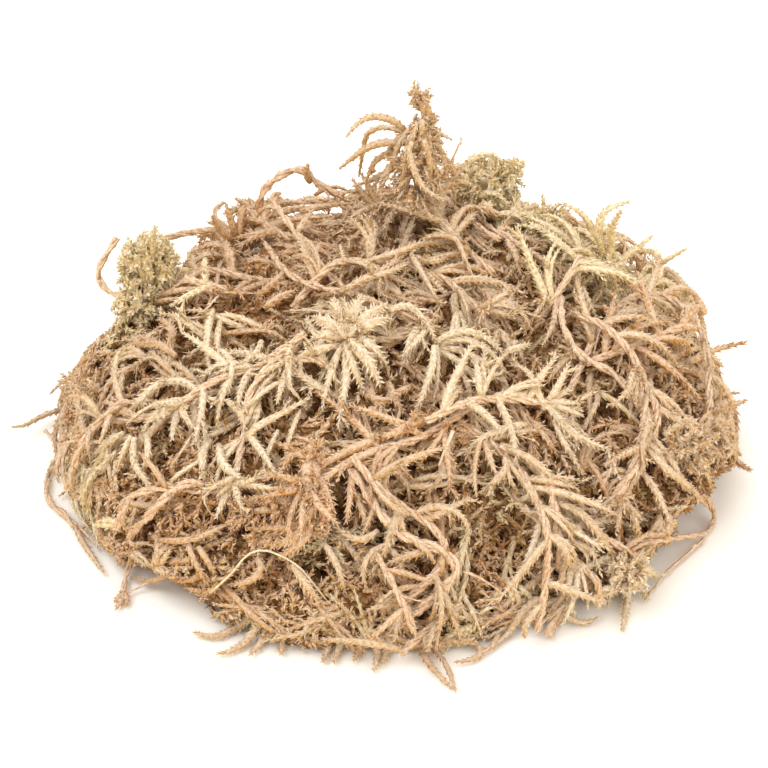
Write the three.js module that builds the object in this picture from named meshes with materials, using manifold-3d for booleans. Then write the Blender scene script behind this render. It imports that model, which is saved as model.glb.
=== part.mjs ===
// A clump of dried long-fibre sphagnum moss, as it lies when a handful is tipped out on a table.
//
// The clump is made of
//   - matted_heart: the packed inner mass, where stems and twigs have matted into one body. It is a
//     low mound with a mat of arched shoots standing out of it all over, roots sunk in the mound.
//     Its flat underside is what the clump rests on.
//   - the loose strands: single moss stems that lie over the mound. Each has a stem, spreading
//     side twigs and, at its growing end, a head of short twigs (the capitulum).
//
// Every strand is laid on what already lies there. A point of the clump is named by a ray from
// FOCUS, a point well below the table, and by how far out along that ray it is. A strand is laid
// at the least distance that clears beads filling the mound's shoots, the table and all strands
// laid before it. Beads are rounder than the solids, so it then sinks until it all but touches.
//
// Lengths are in millimetres, +Z is up, the table is z = 0, and the origin is the middle of the
// flat underside.

import * as THREE from "three";
import { mergeVertices } from "three/addons/utils/BufferGeometryUtils.js";
import Module from "manifold-3d";

const wasm = await Module();
wasm.setup();

// ---- Driving sizes -------------------------------------------------------------------------

const HEART = { halfWidth: 71, halfDepth: 68, height: 42, facets: 4 };
const SHELL = { halfWidth: 78, halfDepth: 74, height: 53 }; // where the routes' plan is drawn
const FOCUS = new THREE.Vector3(0, 0, -36);
const GAP = 0.45; // between a strand's beads and those it is laid on
const SINK = { step: 0.15, clear: 0.3, most: 3 }; // how a laid strand settles onto the solids

const MAT_SHOOTS = 162;
const MAT_SHOOT = { length: 28, spread: 6, radius: 2.3, sunk: 3, rise: 3.6, tipRise: 5 };
const MAT_SHOOT_SHARES = [0.8, 1, 0]; // its radius at root, middle and tip
const COMB = { rim: 0.9, crown: 2.2 }; // how far, in radians, a mat shoot may turn from downhill
const CROWDING = 1.25; // over 1, the mat's shoots stand closer together on the flat crown

const KINDS = {
  // a whole plant: a rope-like stem with hanging twigs pressed to it, side twigs and a head
  leafy: { radius: 1.4, rings: 9, sides: 4, twigs: 5, twigLength: 14, headTwigs: 5, headLength: 10 },
  // an old stem that has lost most of its twigs
  bare: { radius: 1.0, rings: 11, sides: 3, twigs: 3, twigLength: 8, headTwigs: 3, headLength: 6 },
  // a short shoot that is nearly all head
  tuft: { radius: 1.5, rings: 6, sides: 4, twigs: 3, twigLength: 11, headTwigs: 10, headLength: 12 },
  // a fan of long twigs that spring from a short stem
  spray: { radius: 1.5, rings: 7, sides: 4, twigs: 6, twigLength: 16, headTwigs: 5, headLength: 14 },
  // a single stripped fibre
  fibre: { radius: 0.5, rings: 12, sides: 3, twigs: 0, twigLength: 0, headTwigs: 0, headLength: 0 },
};
const TWIG_RADIUS = 1.0;
const GOLDEN_ANGLE = 2.399963;
const TAIL_RADIUS_SHARE = 0.55; // the old end of a stem against its full radius
const STEM_SAG = 0.5; // how far a stem's ring may hang below the line between its neighbours
const SETTLING_PASSES = 30;
const MOST_PUSHED = 0.45; // a twig pushed further than this share of its length is left out
const MOST_STRETCHED = 1.3;
const FUSED_DETAIL = 0.02; // fused solids lose detail finer than this

const TONES = {
  heart: { colour: 0x9c7650, roughness: 0.95 },
  straw: { colour: 0xd2b78a, roughness: 0.9 },
  cream: { colour: 0xe0cb98, roughness: 0.88 },
  tan: { colour: 0xc19a6c, roughness: 0.92 },
  olive: { colour: 0xb9a878, roughness: 0.9 },
  russet: { colour: 0xbd8350, roughness: 0.92 },
  fibre: { colour: 0xe6cfa6, roughness: 0.8 },
};

// Each strand: its name, kind and tone, and its route as [x, y, lift]. x and y are the plan
// position on the shell, and lift is how far the strand is held off what it lies on there. A route
// runs from the old end to the growing end. They are laid in this order.
const STRANDS = [
  ["front_spray", "spray", "straw", [
    [14, -71, 0], [2, -74, 0], [-12, -74, 0], [-24, -72, 1], [-33, -70, 2],
  ]],
  ["right_foot_head", "leafy", "cream", [[24, -54, 0], [31, -59, 0], [37, -61, 0], [42, -62, 3]]],
  ["left_tail", "bare", "tan", [
    [-22, -54, 0], [-32, -55, 0], [-41, -52, 0], [-49, -50, 3], [-54, -54, 2], [-56, -58, 0],
  ]],
  ["right_arc", "leafy", "straw", [
    [40, -32, 0], [46, -14, 0], [54, 0, 3], [61, 0, 5], [65, -12, 3], [66, -26, 1],
  ]],
  ["left_reach", "leafy", "straw", [
    [-42, -37, 0], [-52, -34, 0], [-61, -30, 1], [-68, -26, 3], [-73, -23, 6],
  ]],
  ["left_droop", "bare", "straw", [
    [-52, -30, 0], [-59, -32, 1], [-65, -36, 2], [-67, -43, 2], [-62, -50, 1], [-57, -56, 0],
  ]],
  ["right_loop", "bare", "tan", [
    [40, -57, 0], [48, -56, 2], [57, -51, 4], [63, -43, 5], [63, -34, 3], [56, -29, 0],
  ]],
  ["back_left_fan", "spray", "tan", [[-18, 34, 0], [-32, 38, 0], [-46, 42, 1], [-58, 40, 4]]],
  ["back_arch", "leafy", "straw", [[22, 60, 0], [8, 62, 0], [-8, 60, 0], [-22, 58, 2], [-34, 60, 3]]],
  ["back_right_fan", "spray", "tan", [[30, 24, 0], [42, 34, 0], [54, 40, 1], [64, 44, 4]]],
  ["back_trail", "leafy", "tan", [[4, 28, 0], [2, 42, 0], [6, 54, 0], [11, 62, 1], [18, 67, 2]]],
  ["east_trail", "leafy", "olive", [[42, 6, 0], [52, 13, 0], [60, 19, 1], [65, 25, 3]]],
  ["right_spike", "spray", "russet", [[42, -26, 0], [52, -18, 0], [60, -10, 1], [64, -1, 3]]],
  ["left_fern", "leafy", "tan", [[-24, -2, 0], [-35, 3, 0], [-45, 6, 0], [-54, 6, 1], [-60, 10, 3]]],
  ["pale_arch", "leafy", "cream", [
    [-12, -47, 0], [-12, -37, 1], [-19, -33, 2], [-27, -37, 1], [-31, -46, 0], [-31, -55, 0],
  ]],
  ["left_head", "leafy", "cream", [[-18, -28, 0], [-26, -32, 0], [-34, -34, 1], [-42, -39, 2]]],
  ["right_fall", "leafy", "straw", [
    [14, -45, 0], [22, -49, 1], [28, -54, 1], [30, -60, 1], [30, -66, 1], [26, -71, 0],
  ]],
  ["russet_branch", "spray", "russet", [
    [17, -42, 0], [7, -49, 1], [-2, -52, 1], [-11, -54, 1], [-18, -58, 2],
  ]],
  ["middle_fall", "leafy", "straw", [
    [-8, -54, 1], [-3, -59, 1], [3, -62, 1], [10, -65, 2], [9, -69, 1], [1, -72, 0],
  ]],
  ["front_tail", "bare", "tan", [[-4, -67, 0], [1, -71, 0], [5, -74, 1], [9, -78, 0]]],
  ["right_curve", "leafy", "straw", [
    [40, -16, 0], [48, -24, 1], [53, -34, 1], [51, -44, 1], [45, -52, 0],
  ]],
  ["right_fan", "leafy", "cream", [[7, -47, 1], [15, -43, 2], [24, -40, 2], [33, -39, 2]]],
  ["star_head", "tuft", "cream", [[10, -24, 0], [3, -26, 1], [-4, -27, 3], [-7, -28, 7]]],
  ["upper_rope", "leafy", "straw", [[30, 2, 0], [24, 10, 0], [16, 17, 0], [8, 22, 1], [-4, 22, 1]]],
  ["west_rise", "tuft", "tan", [[-24, 16, 0], [-29, 21, 0], [-34, 27, 1], [-38, 32, 2]]],
  ["left_loop", "bare", "tan", [
    [8, -24, 0], [-4, -18, 0], [-13, -9, 0], [-20, 5, 1], [-26, 20, 5], [-22, 32, 7], [-13, 36, 5], [-6, 32, 1],
  ]],
  ["left_tuft", "tuft", "olive", [[-36, -6, 0], [-44, -2, 2], [-51, 4, 4], [-53, 11, 8]]],
  ["grass_tuft", "spray", "olive", [[34, -14, 0], [38, -4, 1], [41, 6, 4], [44, 13, 10]]],
  ["crown_spike", "spray", "straw", [[23, -2, 1], [15, 6, 2], [9, 12, 6], [7, 15, 14], [3, 16, 24]]],
  ["crown_side_head", "tuft", "olive", [[20, 17, 0], [25, 21, 0], [30, 25, 1], [34, 27, 3]]],
  ["brow_arch", "leafy", "straw", [[-22, -16, 0], [-12, -8, 1], [0, -4, 1], [12, -8, 1], [20, -18, 0]]],
  ["white_fibre", "fibre", "fibre", [
    [-38, -60, 0], [-32, -62, 3], [-25, -61, 5], [-18, -63, 3], [-12, -68, 0],
  ]],
];

// ---- Small tools ---------------------------------------------------------------------------

// A stream of repeatable random numbers from 0 to 1.
function randomStream(seed) {
  let state = seed >>> 0;
  return () => {
    state = (state + 0x6d2b79f5) >>> 0;
    let t = state;
    t = Math.imul(t ^ (t >>> 15), t | 1);
    t ^= t + Math.imul(t ^ (t >>> 7), t | 61);
    return ((t ^ (t >>> 14)) >>> 0) / 4294967296;
  };
}

const between = (draw, low, high) => low + (high - low) * draw();

// The point at t, from 0 to 1, on a smooth curve through all the points.
function alongRoute(route, t) {
  const place = Math.min(t, 0.999999) * (route.length - 1);
  const i = Math.floor(place);
  const f = place - i;
  const at = (k) => route[Math.max(0, Math.min(route.length - 1, k))];
  return [0, 1, 2].map((axis) => {
    const [a, b, c, d] = [at(i - 1)[axis], at(i)[axis], at(i + 1)[axis], at(i + 2)[axis]];
    const square = 2 * a - 5 * b + 4 * c - d;
    const cube = 3 * b - a - 3 * c + d;
    return 0.5 * (2 * b + (c - a) * f + square * f * f + cube * f ** 3);
  });
}

// The ray from FOCUS to a plan position on the shell.
function rayTo(x, y) {
  const out = (x / SHELL.halfWidth) ** 2 + (y / SHELL.halfDepth) ** 2;
  const z = SHELL.height * Math.sqrt(Math.max(0, 1 - out));
  return new THREE.Vector3(x, y, z).sub(FOCUS).normalize();
}

const pointOn = (ray, distance) => FOCUS.clone().addScaledVector(ray, distance);

// ---- The mound -----------------------------------------------------------------------------

// How much the mound swells, as a share of its size, in the direction v from its middle.
function swelling(v) {
  return (
    0.034 * Math.sin(3.1 * v.x + 1.7 * v.y + 4.6) +
    0.03 * Math.sin(4.3 * v.y - 2.9 * v.z + 4.6) +
    0.026 * Math.sin(5.2 * v.x - 3.3 * v.y + 1.6) +
    0.02 * Math.sin(6.1 * v.z + 4.7 * v.x + 1.6)
  );
}

// How far along a ray from FOCUS the mound's surface is.
function heartReach(ray) {
  const size = new THREE.Vector3(HEART.halfWidth, HEART.halfDepth, HEART.height);
  const across = ray.clone().divide(size);
  const start = FOCUS.clone().divide(size);
  const a = across.lengthSq();
  const b = across.dot(start);
  let reach = 0;
  let swell = 1;
  for (let pass = 0; pass < 4; pass++) {
    reach = (-b + Math.sqrt(b * b - a * (start.lengthSq() - swell * swell))) / a;
    swell = 1 + swelling(start.clone().addScaledVector(across, reach).normalize());
  }
  return reach;
}

// ---- What already lies there ---------------------------------------------------------------

const lying = []; // beads that fill the strands: { place, radius, square }, measured from FOCUS

// Fills a line of points with beads, no further apart than a bead's own radius.
function addBeads(points, radii) {
  for (let i = 0; i + 1 < points.length; i++) {
    const span = points[i].distanceTo(points[i + 1]);
    const spacing = Math.max(0.5, 0.8 * Math.min(radii[i], radii[i + 1] + 0.4));
    const steps = Math.max(1, Math.ceil(span / spacing));
    for (let k = 0; k < steps; k++) {
      const place = points[i].clone().lerp(points[i + 1], k / steps).sub(FOCUS);
      const radius = radii[i] + (radii[i + 1] - radii[i]) * (k / steps);
      lying.push({ place, radius, square: place.lengthSq() });
    }
  }
}

// The least distance along a ray at which a bead of this radius clears all that lies.
function clearDistance(ray, radius) {
  let distance = heartReach(ray) + radius + GAP;
  for (const bead of lying) {
    const along = bead.place.dot(ray);
    const reach = radius + bead.radius + GAP;
    const aside = bead.square - along * along;
    if (along > 0 && aside < reach * reach) {
      distance = Math.max(distance, along + Math.sqrt(reach * reach - aside));
    }
  }
  return distance;
}

// ---- Solids --------------------------------------------------------------------------------

function solidFrom(geometry) {
  geometry.deleteAttribute("normal");
  geometry.deleteAttribute("uv");
  const merged = mergeVertices(geometry, 1e-4);
  return new wasm.Manifold(
    new wasm.Mesh({
      numProp: 3,
      vertProperties: new Float32Array(merged.attributes.position.array),
      triVerts: new Uint32Array(merged.index.array),
    }),
  );
}

// A round bar bent along a line of points, with its own radius at each. A last radius of 0 makes
// a pointed end.
function bar(points, radii, sides) {
  const last = points.length - 1;
  const geometry = new THREE.CylinderGeometry(radii[last] > 0 ? 1 : 0, 1, 1, sides, last);
  const position = geometry.attributes.position;
  const frames = [];
  let normal = new THREE.Vector3(0.31, 0.17, 0.93);
  points.forEach((point, k) => {
    const tangent = points[Math.min(k + 1, last)].clone().sub(points[Math.max(k - 1, 0)]).normalize();
    normal = normal.clone().addScaledVector(tangent, -normal.dot(tangent)).normalize();
    frames.push({ point, normal, side: new THREE.Vector3().crossVectors(normal, tangent) });
  });
  for (let i = 0; i < position.count; i++) {
    const ring = Math.round((position.getY(i) + 0.5) * last);
    const { point, normal: n, side } = frames[ring];
    const out = new THREE.Vector2(position.getX(i), position.getZ(i));
    const offset = out.length() > 1e-6 ? out.normalize().multiplyScalar(radii[ring]) : out;
    const moved = point.clone().addScaledVector(n, offset.x).addScaledVector(side, offset.y);
    position.setXYZ(i, moved.x, moved.y, moved.z);
  }
  return solidFrom(geometry);
}

// Joins solids into one body and drops any loose scrap.
function joined(solids) {
  const bodies = wasm.Manifold.union(solids).simplify(FUSED_DETAIL).decompose();
  return bodies.reduce((largest, body) => (body.volume() > largest.volume() ? body : largest));
}

function meshFrom(name, solid, tone) {
  const { numProp, vertProperties, triVerts } = solid.getMesh();
  const places = new Float32Array((vertProperties.length / numProp) * 3);
  for (let i = 0; i < places.length / 3; i++) {
    places.set(vertProperties.subarray(i * numProp, i * numProp + 3), i * 3);
  }
  const geometry = new THREE.BufferGeometry();
  geometry.setAttribute("position", new THREE.BufferAttribute(places, 3));
  geometry.setIndex(new THREE.BufferAttribute(new Uint32Array(triVerts), 1));
  geometry.computeVertexNormals();
  const { colour, roughness } = TONES[tone];
  const material = new THREE.MeshStandardMaterial({ color: colour, roughness, metalness: 0 });
  const mesh = new THREE.Mesh(geometry, material);
  mesh.name = name;
  return mesh;
}

// ---- Twigs and strands ---------------------------------------------------------------------

// A twig's line: root, middle and tip. It springs from the root along `way`, bends by `bend`, and
// is held clear of what lies there. Returns null where that would push or stretch it too far.
function twigLine(root, way, bend, length) {
  const line = [
    root.clone(),
    root.clone().addScaledVector(way, length * 0.5).addScaledVector(bend, length * 0.25),
    root.clone().addScaledVector(way, length).addScaledVector(bend, length),
  ];
  const shortfall = (place) => {
    const ray = place.clone().sub(FOCUS);
    const distance = ray.length();
    return Math.max(0, clearDistance(ray.normalize(), TWIG_RADIUS) - distance);
  };
  const lift = (k, amount) => {
    const out = line[k].clone().sub(FOCUS).normalize();
    line[k].addScaledVector(out, amount);
  };
  const keepOverTable = (k) => {
    line[k].z = Math.max(line[k].z, TWIG_RADIUS + GAP);
  };
  let pushed = 0;
  for (let pass = 0; pass < 3; pass++) {
    keepOverTable(1);
    keepOverTable(2);
    const middle = shortfall(line[1]);
    const tip = shortfall(line[2]);
    lift(1, middle);
    lift(2, tip);
    const inner = shortfall(line[0].clone().lerp(line[1], 0.55));
    lift(1, inner * 1.8);
    const outer = shortfall(line[1].clone().lerp(line[2], 0.5));
    lift(1, outer);
    lift(2, outer);
    pushed += middle + inner + outer;
  }
  const stretched = line[0].distanceTo(line[2]) > MOST_STRETCHED * length;
  return stretched || pushed > MOST_PUSHED * length ? null : line;
}

const TWIG_RADII = [0.55, 1, 0].map((share) => share * TWIG_RADIUS);

// The stem's line, laid on what lies there. Between rests it spans like a stiff straw.
function layStem(route, kind) {
  const dense = 4 * (kind.rings - 1);
  const rays = [];
  const needed = [];
  const lifts = [];
  for (let k = 0; k <= dense; k++) {
    const [x, y, lift] = alongRoute(route, k / dense);
    rays.push(rayTo(x, y));
    const overTable = (kind.radius + GAP - FOCUS.z) / rays[k].z;
    needed.push(Math.max(clearDistance(rays[k], kind.radius), overTable));
    lifts.push(lift);
  }
  const held = Array.from({ length: kind.rings }, (_, i) => needed[4 * i]);
  for (let pass = 0; pass < SETTLING_PASSES; pass++) {
    for (let i = 1; i + 1 < kind.rings; i++) {
      held[i] = Math.max(held[i], (held[i - 1] + held[i + 1]) / 2 - STEM_SAG);
    }
    for (let k = 0; k <= dense; k++) {
      const i = Math.min(Math.floor(k / 4), kind.rings - 2);
      const f = k / 4 - i;
      const short = needed[k] - (held[i] * (1 - f) + held[i + 1] * f);
      if (short > 0) {
        held[i] += short;
        held[i + 1] += short;
      }
    }
  }
  return held.map((distance, i) => pointOn(rays[4 * i], distance + Math.max(0, lifts[4 * i])));
}

// The ways in which a strand's twigs spring from its stem.
function twigStarts(stem, kind, draw) {
  const starts = [];
  const last = stem.length - 1;
  const frameAt = (place) => {
    const i = Math.min(Math.floor(place), last - 1);
    const root = stem[i].clone().lerp(stem[i + 1], place - i);
    const along = stem[i + 1].clone().sub(stem[i]).normalize();
    const out = root.clone().sub(FOCUS).normalize();
    const side = new THREE.Vector3().crossVectors(along, out).normalize();
    return { root, along, out, side };
  };
  for (let n = 0; n < kind.twigs; n++) {
    const place = last * (0.12 + (0.78 * (n + 0.5 * draw())) / kind.twigs);
    const { root, along, out, side } = frameAt(place);
    const hand = n % 2 ? 1 : -1;
    const way = side.clone().multiplyScalar(hand * between(draw, 0.7, 1));
    way.addScaledVector(along, between(draw, 0.15, 0.8));
    way.addScaledVector(out, between(draw, 0, 0.45)).normalize();
    const bend = out.clone().multiplyScalar(-between(draw, 0.05, 0.35));
    bend.addScaledVector(along, between(draw, -0.2, 0.3));
    starts.push({ root, way, bend, length: kind.twigLength * between(draw, 0.75, 1.15) });
  }
  for (let n = 0; n < kind.headTwigs; n++) {
    const { root, along, out, side } = frameAt(last - 0.08 - 0.35 * draw());
    const turn = (n + 0.35 * draw()) * GOLDEN_ANGLE;
    const open = 0.25 + (1.15 * (n + 0.5)) / kind.headTwigs;
    const way = along.clone().multiplyScalar(Math.cos(open));
    way.addScaledVector(side, Math.sin(open) * Math.cos(turn));
    way.addScaledVector(out, Math.abs(Math.sin(open) * Math.sin(turn)) * 0.9 + 0.1).normalize();
    const bend = along.clone().multiplyScalar(-between(draw, 0.0, 0.25));
    bend.addScaledVector(out, -between(draw, 0, 0.3));
    starts.push({ root, way, bend, length: kind.headLength * between(draw, 0.8, 1.1) });
  }
  return starts;
}

const resting = []; // the solids laid so far

// How far a laid strand sinks along `down` before it would come nearer than SINK.clear, in that
// direction, to the table or to a solid that rests there.
function sinkDepth(solid, down) {
  const meets = (depth) => {
    const low = solid.boundingBox().min[2] + down.z * depth;
    const moved = solid.translate(down.clone().multiplyScalar(depth).toArray());
    return low < 0 || resting.some((other) => !moved.intersect(other).isEmpty());
  };
  let depth = 0;
  while (depth < SINK.most && !meets(depth + SINK.step + SINK.clear)) {
    depth += SINK.step;
  }
  return depth;
}

function layStrand([name, kindName, tone, route], index) {
  const kind = KINDS[kindName];
  const draw = randomStream(1000 + 77 * index);
  const stem = layStem(route, kind);
  const radii = stem.map((_, i) => {
    const share = i / (stem.length - 1);
    return kind.radius * (TAIL_RADIUS_SHARE + (1 - TAIL_RADIUS_SHARE) * Math.min(1, 3 * share));
  });
  const twigs = twigStarts(stem, kind, draw)
    .map(({ root, way, bend, length }) => twigLine(root, way, bend, length))
    .filter((line) => line);
  const laid = joined([bar(stem, radii, kind.sides), ...twigs.map((line) => bar(line, TWIG_RADII, 3))]);
  const down = FOCUS.clone().sub(stem[Math.floor(stem.length / 2)]).normalize();
  const sink = down.clone().multiplyScalar(sinkDepth(laid, down));
  const solid = laid.translate(sink.toArray());
  [...stem, ...twigs.flat()].forEach((point) => point.add(sink));
  addBeads(stem, radii);
  twigs.forEach((line) => addBeads(line, TWIG_RADII));
  resting.push(solid);
  return meshFrom(name, solid, tone);
}

// ---- The matted heart ----------------------------------------------------------------------

// The line of one shoot of the mat: root, middle and tip. It leaves the mound at a spot, arches
// downhill or aslant over its surface and ends in a point that stands clear of it. Low on the mound
// it slants more, so that it stays over the table.
function matShoot(spot, draw) {
  const ray = spot.clone().sub(FOCUS).normalize();
  const level = new THREE.Vector3(-ray.y, ray.x, 0).normalize();
  const downhill = new THREE.Vector3().crossVectors(level, ray);
  const high = spot.z / HEART.height;
  const heading = between(draw, -1, 1) * (COMB.rim + (COMB.crown - COMB.rim) * high);
  const length = MAT_SHOOT.length + between(draw, -1, 1) * MAT_SHOOT.spread;
  const room = Math.max(0, spot.z - MAT_SHOOT.radius) / (length * Math.abs(downhill.z) + GAP);
  const down = Math.min(Math.cos(heading), room);
  const aside = Math.sign(heading) * Math.sqrt(1 - down * down);
  const way = downhill.multiplyScalar(down).addScaledVector(level, aside);
  const rises = [-MAT_SHOOT.sunk, MAT_SHOOT.rise, MAT_SHOOT.tipRise * between(draw, 0.3, 1.3)];
  return rises.map((rise, k) => {
    const aim = pointOn(ray, heartReach(ray)).addScaledVector(way, (length * k) / 2).sub(FOCUS).normalize();
    const point = pointOn(aim, heartReach(aim) + rise);
    point.z = Math.max(point.z, MAT_SHOOT.radius + GAP);
    return point;
  });
}

function layHeart() {
  const mound = new THREE.IcosahedronGeometry(1, HEART.facets);
  const position = mound.attributes.position;
  const v = new THREE.Vector3();
  for (let i = 0; i < position.count; i++) {
    v.fromBufferAttribute(position, i).normalize();
    const swell = 1 + swelling(v);
    v.multiplyScalar(swell);
    position.setXYZ(i, HEART.halfWidth * v.x, HEART.halfDepth * v.y, HEART.height * v.z);
  }
  const depth = 2 * HEART.height;
  const below = new THREE.BoxGeometry(4 * HEART.halfWidth, 4 * HEART.halfDepth, depth);
  below.translate(0, 0, -depth / 2);
  const draw = randomStream(41);
  const radii = MAT_SHOOT_SHARES.map((share) => share * MAT_SHOOT.radius);
  const shoots = Array.from({ length: MAT_SHOOTS }, (_, n) => {
    // an even spiral over the upper half, from the flat crown down to the table
    const z = 1 - ((n + 0.5) / MAT_SHOOTS) ** CROWDING;
    const turn = n * GOLDEN_ANGLE;
    const flat = Math.sqrt(1 - z * z);
    const spot = new THREE.Vector3(flat * Math.cos(turn), flat * Math.sin(turn), z);
    spot.multiply(new THREE.Vector3(HEART.halfWidth, HEART.halfDepth, HEART.height));
    return matShoot(spot, draw);
  });
  const solid = joined([
    solidFrom(mound).subtract(solidFrom(below)),
    ...shoots.map((line) => bar(line, radii, 3)),
  ]);
  shoots.forEach((line) => addBeads(line, radii));
  resting.push(solid);
  return meshFrom("matted_heart", solid, "heart");
}

// ---- The clump -----------------------------------------------------------------------------

const clump = new THREE.Group();
clump.name = "sphagnum_moss_clump";
clump.add(layHeart());
STRANDS.forEach((strand, index) => clump.add(layStrand(strand, index)));

export default clump;
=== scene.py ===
# %% [markdown]
# # Dried long-fibre sphagnum moss
# Bog moss is picked as long plants, dried until it is straw coloured, and sold loose. Each plant has
# a stem, side twigs in bundles all along it, and a head of short twigs where it still grew. Every
# twig is clad in overlapping leaves 1 to 2 mm long. The whole clump is therefore one leaf, repeated:
# leaf to twig, twig to plant, plant to clump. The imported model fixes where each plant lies.

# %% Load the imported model
import math

import bmesh
import bpy
import numpy as np
from mathutils import Matrix, Vector


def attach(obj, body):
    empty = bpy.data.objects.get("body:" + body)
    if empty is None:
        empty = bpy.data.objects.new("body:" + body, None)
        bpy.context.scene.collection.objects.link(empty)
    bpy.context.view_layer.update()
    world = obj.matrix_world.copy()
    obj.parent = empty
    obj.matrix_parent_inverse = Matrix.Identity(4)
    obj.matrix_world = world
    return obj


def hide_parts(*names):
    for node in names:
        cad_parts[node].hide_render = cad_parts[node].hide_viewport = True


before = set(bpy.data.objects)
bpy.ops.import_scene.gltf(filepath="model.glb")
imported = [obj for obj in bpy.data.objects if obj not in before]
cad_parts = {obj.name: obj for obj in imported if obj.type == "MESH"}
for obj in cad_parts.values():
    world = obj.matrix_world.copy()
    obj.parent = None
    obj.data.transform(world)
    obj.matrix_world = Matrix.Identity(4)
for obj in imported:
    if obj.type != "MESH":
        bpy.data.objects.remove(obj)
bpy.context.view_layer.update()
print("packed nodes:", len(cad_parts))

# %% [markdown]
# ## Camera, light and table
# Dried moss is matt and full of small hollows. A large soft light from the upper left shapes it, a
# weaker one opposite keeps the hollows brown instead of black, and a pale sky fills the rest. A long
# lens keeps the clump free of distortion.

# %% Camera
def aimed(thing, place, target):
    """Puts a camera or light at a place, turned to a target."""
    holder = bpy.data.objects.new(thing.name, thing)
    bpy.context.scene.collection.objects.link(holder)
    holder.location = place
    holder.rotation_euler = (Vector(target) - Vector(place)).to_track_quat("-Z", "Y").to_euler()
    return holder


LENS = 100
SENSOR = 36
camera_data = bpy.data.cameras.new("camera")
camera_data.lens = LENS
camera_data.sensor_width = SENSOR
camera = aimed(camera_data, (-0.0018, -0.3883, 0.2965), (-0.0018, 0.0, 0.0144))
bpy.context.scene.camera = camera
print("camera at", [round(c, 3) for c in camera.location])


# %% Lights and table
def soft_light(name, place, size, watts, colour=(1.0, 1.0, 1.0)):
    """A square soft box that looks at the clump."""
    lamp = bpy.data.lights.new(name, "AREA")
    lamp.color = colour
    lamp.shape = "SQUARE"
    lamp.size = size
    lamp.energy = watts
    return aimed(lamp, place, (0, 0, 0.02))


soft_light("key_light", (-0.45, -0.35, 0.95), 0.8, 8.3, (0.98, 0.99, 1.0))
soft_light("fill_light", (0.7, -0.7, 0.6), 0.9, 6.0)
soft_light("back_light", (0.2, 0.9, 0.7), 0.9, 4.5)

sky = bpy.data.worlds.new("studio")
sky.use_nodes = True
backdrop = sky.node_tree.nodes["Background"]
backdrop.inputs["Color"].default_value = (1.0, 0.915, 0.755, 1)
backdrop.inputs["Strength"].default_value = 0.86
bpy.context.scene.world = sky
bpy.context.scene.view_settings.view_transform = "Standard"

table_mesh = bpy.data.meshes.new("table")
table_shape = bmesh.new()
bmesh.ops.create_grid(table_shape, x_segments=1, y_segments=1, size=3.0)
table_shape.to_mesh(table_mesh)
table_shape.free()
table = bpy.data.objects.new("table", table_mesh)
bpy.context.scene.collection.objects.link(table)
paper = bpy.data.materials.new("white_paper")
paper.use_nodes = True
paper_shader = paper.node_tree.nodes["Principled BSDF"]
paper_shader.inputs["Base Color"].default_value = (0.94, 0.94, 0.94, 1)
paper_shader.inputs["Roughness"].default_value = 0.9
table_mesh.materials.append(paper)
print("lights: key, fill, back and sky")

# %% [markdown]
# ## The mound that everything lies on
# A place in the clump is named by a ray from a point well below the table, and by how far out along
# that ray it is. The mound's own surface is a squashed ball with slow swellings. All the laying below
# asks this one function how far out the mound reaches.

# %% The mound's shape, in millimetres
FOCUS = np.array([0.0, 0.0, -36.0])  # where all rays start
HEART = np.array([71.0, 68.0, 42.0])  # half width, half depth and height of the mound
SHELL = np.array([78.0, 74.0, 53.0])  # the same for the whole bulk
GAP = 0.45  # the least space between two plants as they are laid
GOLDEN_ANGLE = 2.399963  # radians; spreads any number of things evenly round a middle


def unit(v):
    return v / np.linalg.norm(v, axis=-1, keepdims=True)


def swelling(v):
    """How much the mound swells, as a share of its size, in the direction v from its middle."""
    x, y, z = v[..., 0], v[..., 1], v[..., 2]
    swell = 0.034 * np.sin(3.1 * x + 1.7 * y + 4.6)
    swell = swell + 0.03 * np.sin(4.3 * y - 2.9 * z + 4.6)
    swell = swell + 0.026 * np.sin(5.2 * x - 3.3 * y + 1.6)
    return swell + 0.02 * np.sin(6.1 * z + 4.7 * x + 1.6)


def heart_reach(ray):
    """How far out along a ray from FOCUS the mound's surface is."""
    across = ray / HEART
    start = FOCUS / HEART
    a = (across**2).sum(-1)
    b = (across * start).sum(-1)
    swell = 1.0
    for _ in range(4):
        reach = (-b + np.sqrt(b * b - a * ((start**2).sum() - swell**2))) / a
        swell = 1 + swelling(unit(start + across * np.asarray(reach)[..., None]))
    return reach


def dome_spot(share, evenness, turn):
    """A place on the mound for an even spread: share 0 is its top and share 1 its foot."""
    height = 1 - share**evenness
    flat = math.sqrt(1 - height * height)
    return np.array([flat * math.cos(turn), flat * math.sin(turn), height]) * HEART


print("mound's top:", round(float(heart_reach(np.array([0, 0, 1.0])) + FOCUS[2]), 1), "mm")

# %% Between the view and the clump
EYE = np.array(camera.location) * 1000
AIM = np.array([-1.8, 0.0, 14.4])
FORWARD = unit(AIM - EYE)
RIGHT = np.array([1.0, 0.0, 0.0])
UPWARD = np.cross(RIGHT, FORWARD)
HALF = 384  # half the view's width, in pixels
SLOPE = SENSOR / 2 / LENS  # how far the view opens to each side
RAY_STEPS = np.arange(330, 620, 0.4)[:, None]  # how far from the eye a ray is followed
LOWEST_SEEN = 1.3  # mm over the table


def read_places(text):
    """Reads places: numbers joined by commas, with spaces between the places."""
    return [tuple(map(float, word.split(","))) for word in text.split()]


def view_ray(across, down):
    return unit(FORWARD + RIGHT * (across - HALF) / HALF * SLOPE + UPWARD * (HALF - down) / HALF * SLOPE)


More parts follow.
